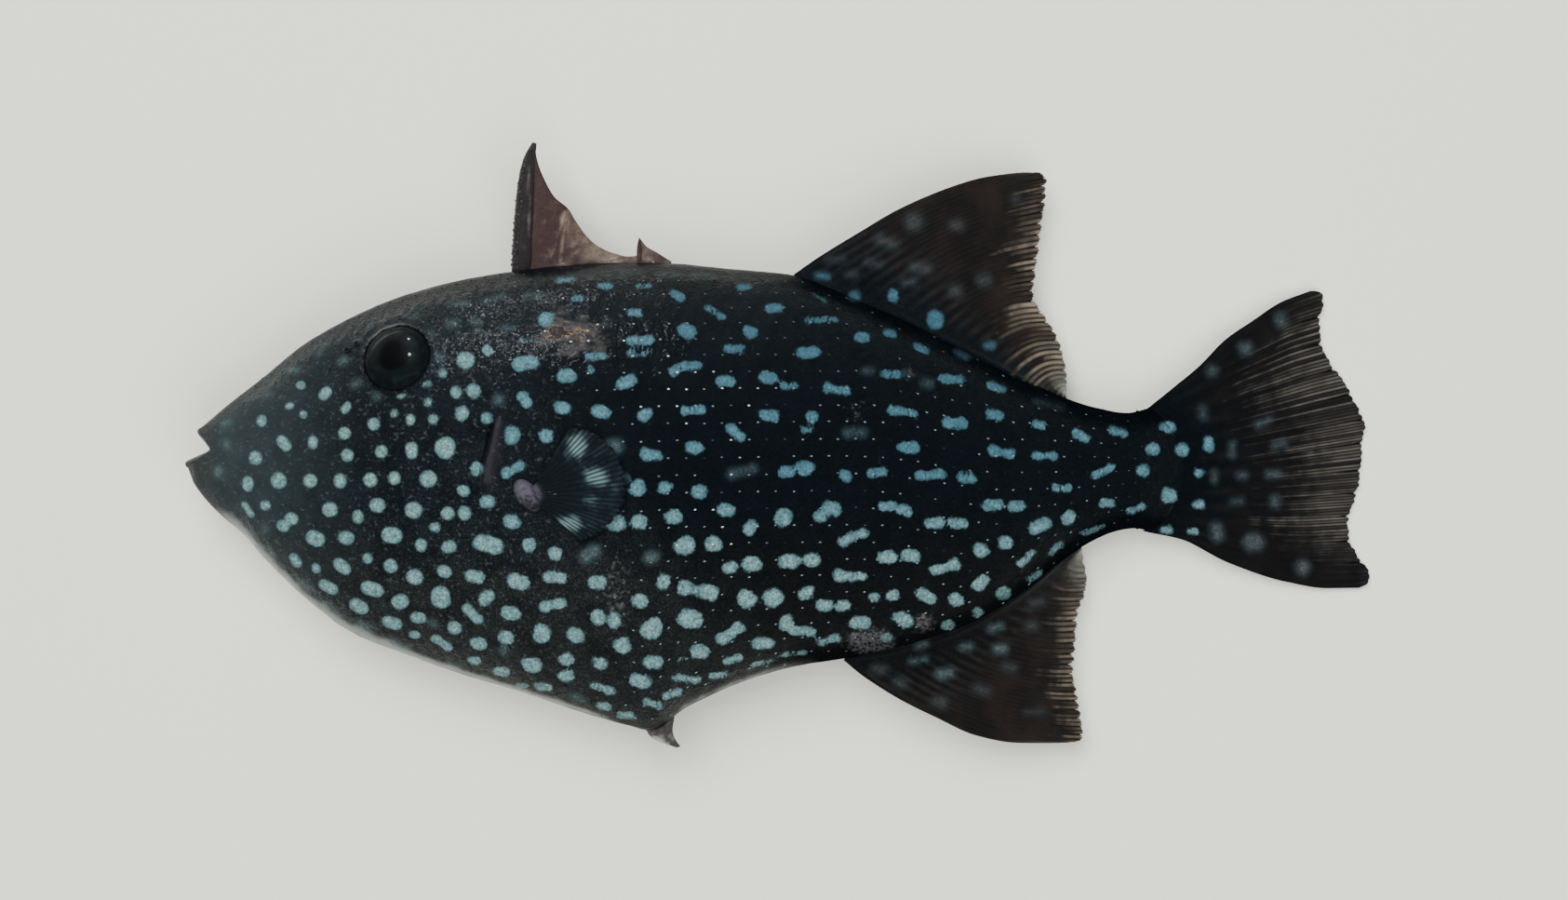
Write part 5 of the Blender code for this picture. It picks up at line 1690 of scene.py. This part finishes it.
    def _unwrap(self, obj: Object, roots: Array, outline: Array) -> None:
        """Gives each plate a small patch at its root's place on the skin laid flat.

        Args:
            obj: The plates.
            roots: Each root's place along the fish and distance round the body.
            outline: Each point's place along and across its plate, -1 to 1.
        """
        x, arc = roots.T
        u = 0.02 + 0.96 * (x - self.first_x) / (self.last_x - self.first_x)
        v = 0.5 + 0.46 * arc / np.abs(arc).max()
        uv = (np.column_stack([u, v])[:, None] + self.patch * outline / 2).reshape(-1, 2)
        layer = obj.data.uv_layers.new(name="OFBake")
        vertex = np.zeros(len(obj.data.loops), np.int32)
        obj.data.loops.foreach_get("vertex_index", vertex)
        layer.data.foreach_set("uv", uv[vertex].astype(np.float32).ravel())


@dataclass(kw_only=True)
class RayFin:
    """A soft fin: branching rays in a membrane, with a toothed edge. Its kinds place their own middle."""

    name: str
    rays: int
    seed: int
    finish: Material
    bars: Bars
    band: Curve
    shows: Curve
    columns_per_ray: int = 16
    rows: int = 64
    root_sunk: float = 0.035
    tooth: float = 0.7
    peak: float = 0.36
    slit_depth: Pair = (0.1, 0.7)
    edge_reach: float = 8.0
    thick: Pair = (0.4, 0.27)
    ridge_height: Pair = (0.16, 0.12)
    branches: Line = ((1, 3), (2, 2.2), (4, 1.6))
    floor_gap: float = 0.05
    streaks: int = 2
    streak_ends: tuple[Pair, Pair] = ((0.8, 0.4), (3, 1.15))

    def __post_init__(self) -> None:
        """Lays out the shares along the base, in a column, and out to the edge, in a row."""
        self.u = np.linspace(0, 1, self.rays * self.columns_per_ray + 1)[:, None]
        self.v = np.concatenate([[-self.root_sunk], np.linspace(0, 1, self.rows)])[None, :]

    def place(self) -> Array:
        """The fin's middle, x, y and z last, at every share along its base and out to its edge."""
        raise NotImplementedError

    def root_half(self) -> Array:
        """Half the thickness with which the fin grows out of the body."""
        raise NotImplementedError

    def root_share(self, from_root: Array) -> Array:
        """How much of the root's thickness is left, from_root millimetres out."""
        raise NotImplementedError

    def _edge(self) -> Array:
        """Cuts the fin's edge into teeth.

        Returns:
            How far each column's end stands out at a ray, in millimetres, or in between two.
        """
        u = self.u[:, 0]
        rng = np.random.default_rng(self.seed)
        across = u * self.rays
        ray = np.minimum(across.astype(int), self.rays - 1)
        aside = across - ray - self.peak
        aside = np.abs(aside) / np.where(aside < 0, self.peak, 1 - self.peak)
        uneven = 0.3 * ripple(u * 400, u * 0, 14, self.seed) + 0.3 * humps(4, across, 0.7)
        deep = rng.uniform(*self.slit_depth, self.rays + 1)
        slit = np.where(across - ray < 0.5, deep[ray], deep[ray + 1])
        return self.tooth * (1 - aside**1.3) - slit * ease(aside, 0.8, 1) + uneven

    def _ridges(self) -> Array:
        """The relief, 0 between the rays and 1 on them: each ray parts in two, and in two again."""
        whole, halves, quarters = (humps(n * self.rays, self.u, power) for n, power in self.branches)
        return mix(mix(whole, halves, ease(self.v, 0.3, 0.46)), quarters, ease(self.v, 0.62, 0.78))

    def _columns(self, each: Array) -> Array:
        """Values for each ray or part of a ray, given to all its columns."""
        columns = self.rays * self.columns_per_ray
        return np.append(np.repeat(each, columns // len(each)), each[-1])[:, None]

    def _paint(self, middle: Array, from_edge: Array) -> Paint:
        """Works out the values that the fin's material reads.

        Args:
            middle: The fin's middle.
            from_edge: The distance in from the fin's edge at each point of it.

        Returns:
            The painted values by name.
        """
        u, v = self.u, self.v
        rng = np.random.default_rng(self.seed + 1)
        streaks = self.streaks * self.rays
        long_slit = self._columns(rng.uniform(1.5, 11, self.rays))
        tone = self._columns(rng.uniform(0.05, 1, streaks))
        tone = tone * self._columns(rng.uniform(0.45, 1, self.rays))
        sharp, long = (self._columns(each) for each in rng.uniform(*self.streak_ends, (streaks, 2)).T)
        lines = humps(streaks, u, sharp)
        band = self.band.at(u) * long
        aside = np.abs(2 * (u * self.rays % 1) - 1)
        spot, bright = self.bars.near(middle[..., 0].ravel(), middle[..., 1].ravel())
        return {
            "reach": np.clip(v, 0, 1) * np.ones_like(u),
            "ray": self._ridges() * ease(v, 0, 0.3) * mix(1, 0.3, hill(v - 0.55, 0.22)),
            "worn": self.shows.at(u) * np.clip(1 - from_edge / band, 0, 1),
            "streak": lines * tone * np.ones_like(v),
            "slit": 0.9 * ease(aside, 0.78, 0.97) * ease(from_edge / long_slit, 1, 0.4),
            "spot": spot,
            "bright": bright * ease(from_edge.ravel(), 0, 1.5),
        }

    def build(self) -> Object:
        """Makes the fin.

        Returns:
            The fin, in place of the solid one.
        """
        middle = self.place()
        ahead = middle[:, -1] - middle[:, -2]
        ahead /= np.linalg.norm(ahead, axis=1, keepdims=True)
        steps = np.linalg.norm(np.diff(middle, axis=1), axis=-1)
        from_edge = np.cumsum(steps[:, ::-1], axis=1)[:, ::-1]
        from_edge = np.concatenate([from_edge, np.zeros((len(middle), 1))], axis=1)
        push = self._edge()[:, None] * ease(from_edge, self.edge_reach, 0)
        middle = middle + push[..., None] * ahead[:, None]
        out = np.clip(self.v, 0, 1)
        half = mix(*self.thick, out) + mix(*self.ridge_height, out) * (self._ridges() - 0.3)
        half = mix(half, self.root_half(), self.root_share(from_edge[:, [1]] - from_edge))
        middle[..., 2] = np.maximum(middle[..., 2], half + self.floor_gap)
        shell = sheet(middle, half, self._paint(middle, from_edge))
        return dressed(shell, f"rayed_{self.name}", self.finish, "fin", self.name)


@dataclass(kw_only=True)
class LongFin(RayFin):
    """A fin along the body's edge, whose rays sweep back and sag a little towards their tips."""

    profile: Curve
    base: Pair
    lead: Line
    rear: Keyed
    sweep: float = 0.5
    droop: float = 5.0
    front_share: float = 0.14
    flesh: Pair = (1.2, 2.9)
    flesh_reach: float = 2.6

    def _swept(self, u: Array) -> Array:
        """Bends rays back from their roots to their tips.

        Args:
            u: Shares along the base.

        Returns:
            The x, y that the sweep of the rays alone gives.
        """
        base_x = mix(*self.base, u)
        root = np.stack([base_x, self.profile.at(base_x)], -1)
        ends = keyed(self.rear, u)
        tip, slope = ends[..., :2], ends[..., 2:]
        back = self.sweep * np.linalg.norm(tip - root, axis=-1, keepdims=True)
        turn = tip - back * np.concatenate([np.ones_like(slope), slope], -1)
        v = self.v[..., None]
        return (1 - v) ** 2 * root + 2 * v * (1 - v) * turn + v * v * tip

    def place(self) -> Array:
        """Lays the rays out, the foremost along the leading edge.

        Returns:
            The fin's middle, x, y and z last.
        """
        v = self.v
        flat = self._swept(self.u)
        pull = np.maximum(0, 1 - self.u / self.front_share)[..., None] ** 2
        flat = flat + pull * (through(self.lead, v) - self._swept(np.zeros((1, 1))))
        wave = 0.35 * ripple(flat[..., 0], flat[..., 1], 42, self.seed) * ease(v, 0.15, 0.8)
        z = BODY.middle.at(flat[..., 0]) - self.droop * v * v + wave
        return np.concatenate([flat, z[..., None]], -1)

    def root_half(self) -> Array:
        """Half the thickness of the fleshy base where it leaves the body, less at both ends."""
        return mix(*self.flesh, ease(from_ends(self.u), 0, 0.15))

    def root_share(self, from_root: Array) -> Array:
        """The fleshy base thins quickly at first and then slowly, and is gone at the edge."""
        return np.exp(-np.maximum(from_root, 0) / self.flesh_reach) * np.sqrt(1 - np.clip(self.v, 0, 1))


@dataclass(kw_only=True)
class SecondDorsalFin(LongFin):
    """The tall fin of the back, with a low lobe behind."""

    name: str = "second_dorsal_fin"
    rays: int = 24
    seed: int = 41
    finish: Material = DORSAL_MEMBRANE
    bars: Bars = Bars.placed((DORSAL_FIN_SPOTS, 0.9), (DIM_DORSAL_SPOTS, 0.65), (FADED_DORSAL_SPOTS, 0.26))
    band: Curve = Curve(((0, 5), (0.1, 10), (0.3, 15), (0.5, 16), (0.62, 17), (1, 22)))
    shows: Curve = Curve((
        (0, 0.2), (0.08, 0.5), (0.15, 0.72), (0.45, 0.72), (0.58, 0.95), (0.7, 1.3), (1, 1.1),
    ))
    profile: Curve = BODY.back
    base: Pair = (2.6, 76.3)
    lead: Line = (
        (2.6, 45.7), (9, 50.2), (20, 57), (31, 63.5), (44.5, 69.4), (54, 72.4), (62, 73.8),
    )
    rear: Keyed = (
        (0, 62, 73.8, 0.25), (0.05, 68.2, 74, 0.25), (0.085, 70.6, 72.4, 0.22), (0.2, 70.4, 66.6, 0.2),
        (0.3, 69.3, 59.6, 0.18), (0.4, 68.3, 52, 0.16), (0.5, 67.4, 44.4, 0.12), (0.56, 67, 40.8, 0.08),
        (0.62, 69.4, 36.2, 0), (0.7, 72.6, 31.4, -0.05), (0.8, 75.2, 25.4, -0.1),
        (0.9, 76.6, 18.8, -0.15), (1, 76.8, 14, -0.2),
    )


@dataclass(kw_only=True)
class AnalFin(LongFin):
    """The long low fin behind the belly."""

    name: str = "anal_fin"
    rays: int = 21
    seed: int = 52
    finish: Material = ANAL_MEMBRANE
    bars: Bars = Bars.placed((ANAL_FIN_SPOTS, 0.4), (FADED_ANAL_SPOTS, 0.24))
    band: Curve = Curve(((0, 6), (0.1, 11), (0.4, 13), (0.7, 14), (1, 12)))
    shows: Curve = Curve(((0, 0.25), (0.1, 0.6), (0.4, 0.7), (0.7, 0.8), (0.85, 0.9), (1, 0.6)))
    profile: Curve = BODY.belly
    base: Pair = (16, 80.6)
    lead: Line = (
        (16, -57.8), (20.5, -61.6), (30.8, -68.3), (41, -73.5), (52, -78.6), (62.5, -80.8), (71, -81.2),
    )
    rear: Keyed = (
        (0, 71, -81.2, -0.08), (0.05, 78.4, -81, -0.06), (0.09, 80.8, -79.2, -0.05),
        (0.2, 80.2, -74, -0.02), (0.34, 78.9, -66.9, 0), (0.46, 77.9, -60.6, 0.03),
        (0.58, 78.8, -53.4, 0.05), (0.7, 79.5, -45.8, 0.08), (0.79, 81.4, -41, 0.1),
        (0.88, 82.2, -36.4, 0.12), (0.94, 81.6, -32.6, 0.15), (1, 81.2, -28.6, 0.2),
    )


@dataclass(kw_only=True)
class CaudalFin(RayFin):
    """The tail fin, which lies almost flat on the board."""

    name: str = "caudal_fin"
    rays: int = 12
    seed: int = 63
    finish: Material = CAUDAL_MEMBRANE
    bars: Bars = Bars.placed((CAUDAL_SPOTS, 0.95), (FADED_CAUDAL_SPOTS, 0.35))
    band: Curve = Curve(((0, 16), (0.16, 38), (0.4, 40), (0.75, 34), (0.88, 24), (1, 8)))
    shows: Curve = Curve(((0, 0.4), (0.14, 0.75), (0.3, 1), (0.72, 1), (0.86, 0.6), (1, 0.3)))
    columns_per_ray: int = 32
    tooth: float = 0.3
    slit_depth: Pair = (0.1, 0.6)
    streaks: int = 8
    root_thinner: float = 0.17
    streak_ends: tuple[Pair, Pair] = ((1.2, 0.5), (2.4, 1.1))
    upper: Line = (
        (99.5, 10.6), (106.6, 16.2), (113.3, 21.6), (120.8, 29), (128.2, 34), (136.5, 39.3), (144.6, 42.3),
    )
    lower: Line = (
        (99.5, -24), (108.5, -25.9), (121.5, -32.3), (137.2, -37.5), (149, -39.4), (158.4, -39.3),
    )
    rear: Keyed = (
        (0, 144.6, 42.3), (0.02, 147.1, 41.7), (0.045, 147.8, 39.2), (0.1, 146.7, 33.5), (0.16, 147, 28.2),
        (0.23, 149.8, 22.2), (0.28, 152.8, 18.4), (0.33, 155.2, 14.1), (0.39, 157.6, 9.2),
        (0.43, 159.4, 5.9), (0.5, 158.5, 0.5), (0.6, 157.9, -8.4), (0.67, 156.9, -13.5),
        (0.73, 155.2, -18.1), (0.78, 154.5, -22), (0.84, 155.4, -27), (0.9, 157.6, -31.2),
        (0.95, 160.2, -34.6), (0.98, 160.5, -37.4), (1, 158.4, -39.3),
    )

    def place(self) -> Array:
        """Fans the rays out of the stalk, the outermost along the fin's two edges.

        Returns:
            The fin's middle, x, y and z last.
        """
        u, v = self.u, self.v
        angle = np.pi / 2 - np.pi * u
        root = BODY.at(BODY.stalk_end(angle), angle, 1)[..., :2]
        flat = mix(root, keyed(self.rear, u), v[..., None])
        for edge, weight in ((self.upper, 1 - 2.2 * u), (self.lower, 2.2 * u - 1.2)):
            straight = mix(np.array(edge[0]), np.array(edge[-1]), v[..., None])
            bend = (through(edge, np.maximum(v, 0)) - straight) * (v >= 0)[..., None]
            flat = flat + np.maximum(0, weight)[..., None] ** 2 * bend
        return np.concatenate([flat, BODY.middle.at(flat[..., 0])[..., None]], -1)

    def root_half(self) -> Array:
        """Half the thickness with which the fin grows out of the stalk."""
        return mix(*BODY.stalk_end_half, np.sin(np.pi * self.u) ** 2) - self.root_thinner

    def root_share(self, from_root: Array) -> Array:
        """The root thins out over the first fifth of the rays."""
        return ease(self.v, 0.19, -0.02) * np.ones_like(from_root)


@dataclass
class PectoralFin:
    """A pectoral fin: a fleshy lobe let into the flank, and a fan of rays."""

    side: Side
    lobe_at: Pair = (-67, -13.4)
    lobe_turn: float = 36.0
    left_lobe: Triple = (3, 5.1, 3.2)
    left_lobe_sunk: float = 0.6
    right_lobe: Triple = (3, 5, 1.7)
    right_lobe_height: float = 2.1
    left_spread: Pair = (-40, 58)
    right_spread: Pair = (-22, 30)
    rays: int = 15
    columns_per_ray: int = 12
    rows: int = 30
    first_reach: float = 1.6
    reach: Curve = Curve((
        (-40, 18), (-20, 22.5), (0, 25.5), (20, 26), (40, 24.5), (58, 21),
    ))
    notch: float = 0.7
    stand_off: float = 0.85
    rise_per_mm: float = 0.055
    wave: float = 0.3
    web_half: float = 0.13
    ray_half: float = 0.14
    root_half: float = 0.35
    blotches: tuple[Blot, ...] = (
        (-54, -0.5, 3.4, 4, 1), (-49, -8.5, 3.8, 3, 1), (-50, -14.5, 3, 2.4, 0.45),
        (-56, -20.5, 4.2, 2.8, 0.9), (-44, -11, 2.4, 2.6, 0.35),
    )

    def _lobe(self) -> Shell:
        """Makes the fleshy base of the fin.

        Returns:
            The lobe.
        """
        cos, sin = math.cos(math.radians(self.lobe_turn)), math.sin(math.radians(self.lobe_turn))
        turned = np.array([(cos, sin, 0), (-sin, cos, 0), UP])
        if self.side is Side.LEFT:
            origin, axes = BODY.frame_over(*self.lobe_at, self.side)
            lobe = ball(self.left_lobe, origin, turned @ axes, self.left_lobe_sunk, 48)
        else:
            lobe = ball(self.right_lobe, np.array([*self.lobe_at, self.right_lobe_height]), turned, 0, 48)
        lobe.paint = {"lobe": np.ones(len(lobe.points))}
        return lobe

    def build(self) -> Object:
        """Makes the fin.

        Returns:
            The fin, in place of the solid one.
        """
        is_left = self.side is Side.LEFT
        u = np.linspace(0, 1, self.rays * self.columns_per_ray + 1)[:, None]
        v = np.linspace(0, 1, self.rows)[None, :]
        turn = mix(*(self.left_spread if is_left else self.right_spread), u)
        whole = humps(self.rays, u)
        full = self.reach.at(turn) - self.notch * (1 - whole) ** 2 * ease(v, 0.6, 1)
        reach = mix(self.first_reach, full, v)
        x = self.lobe_at[0] + reach * np.cos(np.radians(turn))
        y = self.lobe_at[1] + reach * np.sin(np.radians(turn))
        z = np.full(x.shape, self.stand_off)
        if is_left:
            wave = self.wave * np.sin(math.pi * 3 * u) * ease(v, 0.3, 1)
            z = BODY.at(x, BODY.angle_at(x, y), 1)[..., 2] + z + self.rise_per_mm * reach + wave
        ridges = mix(whole**3, humps(2 * self.rays, u, 2), ease(v, 0.45, 0.7))
        half = self.web_half + self.ray_half * ridges * mix(1, 0.5, v) + self.root_half * ease(v, 0.25, 0)
        fleck = blots(x, y, self.blotches, 0.85).max(0)
        shown = ease(v, 0.2, 0.9) * np.ones_like(u)
        paint = {"ray": ridges, "lobe": ease(reach, 4.5, 2.5), "fleck": fleck, "reach": shown}
        fan = sheet(np.stack([x, y, z], -1), half, paint)
        name = f"pectoral_fin_{self.side.name.lower()}"
        return dressed(joined([fan, self._lobe()]), f"rayed_{name}", PECTORAL, "fin", name)


@dataclass
class FirstDorsalFin:
    """Three spines, the first stout and rough in front, with a web behind each."""

    base: Pair = (-70.6, -30.4)
    base_share: Curve = Curve(((0, 0), (0.23, 0.26), (0.75, 0.79), (1, 1)))
    base_sunk: float = 0.6
    web_edge: Keyed = (
        (0, -66.9, 79.6), (0.03, -66.1, 75.7), (0.08, -64.1, 70.7), (0.14, -61.6, 66.5), (0.23, -58, 63.4),
        (0.3, -55.9, 60), (0.38, -52.9, 55.9), (0.46, -49.9, 53.3), (0.56, -45.6, 51.4),
        (0.68, -41.6, 50.6), (0.72, -39.5, 50.8), (0.76, -38.8, 55.2), (0.84, -36.8, 53.2),
        (0.92, -33.9, 51.5), (1, -30.2, 49.2),
    )
    web_half: Pair = (0.42, 0.2)
    web_root_half: float = 0.5
    crease: Line = ((-62.5, 50), (-59, 62.5))
    # A painted highlight on the web just below the second spine's tip.
    crease_highlight: Blot = (-58.8, 60, 1.1, 2.4, 0.8)
    middle_z: float = 22.0
    first_spine: Line = ((-70.5, 46.2), (-69.9, 59.5), (-69.3, 69.5), (-68.4, 76.5), (-67, 81.1))
    first_half: Pair = (2.75, 1.75)
    first_tip: float = 0.22
    second_spine: Line = ((-60.2, 47), (-59.4, 55), (-58.5, 60.5), (-58, 63.2))
    second_half: Pair = (0.75, 0.62)
    third_spine: Line = ((-38.9, 48), (-38.9, 52.5), (-38.8, 55.5))
    third_half: Pair = (0.75, 0.7)
    later_tip: float = 0.3
    seed: int = 17
    knobs_per_row: int = 34
    knob_rows: tuple[float, ...] = (150, 180, 210, 118, 242)
    knob_size: Pair = (0.22, 0.42)

    def _web(self) -> Shell:
        """Makes the web behind the spines, from just inside the back.

        Returns:
            The web.
        """
        u, v = np.linspace(0, 1, 241)[:, None], np.linspace(0, 1, 36)[None, :]
        base_x = mix(*self.base, self.base_share.at(u))
        base_y = BODY.back.at(base_x) - self.base_sunk
        edge = keyed(self.web_edge, u)
        x, y = mix(base_x, edge[..., 0], v), mix(base_y, edge[..., 1], v)
        wave = 0.22 * np.sin(math.pi * 7 * u) + 0.15 * ripple(x, y, 9, 8)
        z = BODY.middle.at(x) + wave * np.sin(math.pi * v)
        half = mix(*self.web_half, v)
        half = half + self.web_root_half * np.exp(-((v * (edge[..., 1] - base_y)) ** 2) / 2)
        pale = 0.6 * ease(x, -62, -51) * ease(v, -0.1, 0.35) * mix(0.55, 1, ease(x, -38, -44))
        # The crease and a painted highlight below the second spine's tip lighten the web.
        pale += 0.25 * hill(near_line(x, y, self.crease)[0], 0.5) + blots(x, y, (self.crease_highlight,))[0]
        paint = {"pale": pale, "rim": ease(v * np.ones_like(u), 0.95, 1)}
        return sheet(np.stack([x, y, z], -1), half, paint)

    def _spine(self, line: Line, half: Pair, tip: float) -> Shell:
        """Makes a tapering spine.

        Args:
            line: Its points, from inside the back to its tip.
            half: Half its width and half its thickness at the root.
            tip: Its size at the tip, as a share of the root's.

        Returns:
            The spine.
        """
        share = np.linspace(0, 1, 60)
        taper = mix(1, tip, share**2.2)
        points = np.column_stack([through(line, share), np.full(len(share), self.middle_z)])
        return tube(points, half[0] * taper, half[1] * taper, np.tile(UP, (len(share), 1)), 20, False)

    def _knobs(self) -> list[Shell]:
        """Makes the rough knobs down the front and sides of the first spine.

        Returns:
            The knobs, each set a little into the spine.
        """
        rng = np.random.default_rng(self.seed)
        wide, deep = self.first_half
        shells = []
        for turn in self.knob_rows:
            for n in range(self.knobs_per_row):
                share = (n + rng.uniform(0.1, 0.9)) / self.knobs_per_row * 0.93
                x, y = through(self.first_spine, np.array(0.02 + 0.98 * share))
                taper = mix(1, self.first_tip, share**2.2)
                angle = math.radians(turn + rng.uniform(-9, 9))
                cos, sin = math.cos(angle), math.sin(angle)
                out = np.array([cos, 0.12, sin])
                out /= np.linalg.norm(out)
                origin = np.array([x + wide * taper * cos, y, self.middle_z + deep * taper * sin])
                aside = np.cross(out, [0, 1, 0])
                aside /= np.linalg.norm(aside)
                size = rng.uniform(*self.knob_size) * mix(1, 0.6, share)
                axes = np.stack([np.cross(aside, out), aside, out])
                knob = ball((size * 1.3, size, size * 1.1), origin, axes, 0.08, 8)
                knob.paint = {"pale": np.full(len(knob.points), rng.uniform(0.1, 0.8))}
                shells.append(knob)
        return shells

    def build(self) -> tuple[Object, Object]:
        """Makes the spines and the web.

        Returns:
            The web, in place of the solid fin, and the spines.
        """
        first = self._spine(self.first_spine, self.first_half, self.first_tip)
        x, y = first.points[:, 0], first.points[:, 1]
        first.paint = {"pale": 0.8 * hill(x + 68.4, 0.35) * ease(y, 54, 61) * ease(y, 78, 71)}
        second = self._spine(self.second_spine, self.second_half, self.later_tip)
        second.paint = {"pale": np.full(len(second.points), 0.5)}
        third = self._spine(self.third_spine, self.third_half, self.later_tip)
        webbed = joined([self._web(), second, third])
        web = dressed(webbed, "first_dorsal_web", WEB, "spine", "first_dorsal_fin")
        return web, dressed(joined([first, *self._knobs()]), "first_dorsal_spines", BONE, "spine")


@dataclass
class PelvicSpine:
    """The rough stub of the pelvis at the belly's lowest point, with its small paired scutes."""

    base: Pair = (-36.8, -29.4)
    tip: Keyed = ((0, -29.9, -81), (0.5, -28.8, -81.3), (1, -27.8, -81))
    root_sunk: float = 0.15
    bow: float = 1.2
    half: Pair = (1.15, 0.3)
    scute: float = 0.28

    def build(self) -> Object:
        """Makes the stub.

        Returns:
            The stub, in place of the solid one.
        """
        u, v = np.linspace(0, 1, 37)[:, None], np.linspace(-self.root_sunk, 1, 30)[None, :]
        out = np.maximum(v, 0)
        base_x = mix(*self.base, u)
        edge = keyed(self.tip, u)
        x = mix(base_x, edge[..., 0], v) - self.bow * np.sin(math.pi * out)
        y = mix(BODY.belly.at(base_x), edge[..., 1], np.sign(v) * np.abs(v) ** 0.8)
        scutes = humps(3, u) * np.abs(np.sin(math.pi * 4.5 * v + 1.5 * u)) ** 0.7
        half = mix(*self.half, out) * (0.55 + 0.45 * np.sin(math.pi * u) ** 0.6)
        half += self.scute * scutes * (1 - v)
        # The left side is painted pale, a painted highlight along its edge, with pale scutes.
        paint = {"pale": 1.2 * ease(u + 0.25 * v, 0.75, 0.15) * ease(v, 0.1, 0.5) + 0.25 * scutes}
        shell = sheet(np.stack([x, y, BODY.middle.at(x)], -1), half, paint)
        return dressed(shell, "rough_pelvic_spine", PELVIC, "spine", "pelvic_spine")


@dataclass(frozen=True)
class Light:
    """A square light that looks at the fish: its place and side in metres, and its power in watts."""

    name: str
    place: Triple
    side: float
    power: float
    colour: Triple = (1, 1, 1)
    is_mirrored: bool = True

    def hang(self) -> None:
        """Hangs the light."""
        data = bpy.data.lights.new(self.name, "AREA")
        data.size, data.energy, data.color = self.side, self.power, self.colour
        light = bpy.data.objects.new(self.name, data)
        bpy.context.scene.collection.objects.link(light)
        light.location = self.place
        light.rotation_euler = (-light.location).to_track_quat("-Z", "Y").to_euler()
        light.visible_glossy = self.is_mirrored


@dataclass
class Studio:
    """The board, the lights and the camera, which looks straight down."""

    camera_height: float = 900.0
    camera_y: float = -1.4
    picture_width: float = 421.25
    picture_plane: float = 22.0
    sensor: float = 36.0
    clip: Pair = (0.01, 50)
    board_half: float = 4.0
    world: Triple = (0.045, 0.05, 0.058)
    lights: tuple[Light, ...] = (
        Light("window", (-0.35, 0.7, 1.7), 1.3, 50, (1, 1, 0.98), is_mirrored=False),
        Light("fill", (0.4, -0.8, 1.6), 1.5, 36, (1, 1, 0.97), is_mirrored=False),
        Light("sheen", (-0.25, 1.5, 0.85), 0.8, 0.4, (0.72, 0.87, 1)),
        Light("glint", (-0.2, 0.55, 0.62), 0.055, 0.34),
        Light("low_glint", (-0.25, 1.05, 0.42), 0.055, 0.45),
    )

    def build(self) -> None:
        """Sets up the board, the lights, the world and the camera."""
        corners = np.array([(-1, -1, 0), (1, -1, 0), (1, 1, 0), (-1, 1, 0)])
        board = Shell(corners * self.board_half / MM, np.array([[0, 1, 2, 3]]))
        make_object(board, "board", PALE_BOARD)
        for light in self.lights:
            light.hang()
        world = bpy.data.worlds.new("studio")
        world.use_nodes = True
        world.node_tree.nodes["Background"].inputs["Color"].default_value = (*self.world, 1)
        bpy.context.scene.world = world
        lens = bpy.data.cameras.new("overhead")
        lens.sensor_width = self.sensor
        lens.lens = self.sensor * (self.camera_height - self.picture_plane) / self.picture_width
        lens.clip_start, lens.clip_end = self.clip
        camera = bpy.data.objects.new("overhead", lens)
        bpy.context.scene.collection.objects.link(camera)
        camera.location = (0, self.camera_y * MM, self.camera_height * MM)
        bpy.context.scene.camera = camera


def main() -> None:
    """Builds the fish piece by piece, then the studio round it, and reports each piece."""
    logging.basicConfig(level=logging.INFO, format="%(name)s: %(message)s")
    parts = [
        Skin(), ScaleCoat(Side.LEFT), ScaleCoat(Side.RIGHT), Eye(Side.LEFT), Eye(Side.RIGHT),
        SecondDorsalFin(), AnalFin(), CaudalFin(), FirstDorsalFin(), PelvicSpine(),
        PectoralFin(Side.LEFT), PectoralFin(Side.RIGHT),
    ]
    for part in parts:
        made = part.build()
        for piece in made if isinstance(made, tuple) else (made,):
            mesh = piece.data
            LOG.info("%s: %d points, %d faces", piece.name, len(mesh.vertices), len(mesh.polygons))
    Studio().build()


if __name__ == "__main__":
    main()
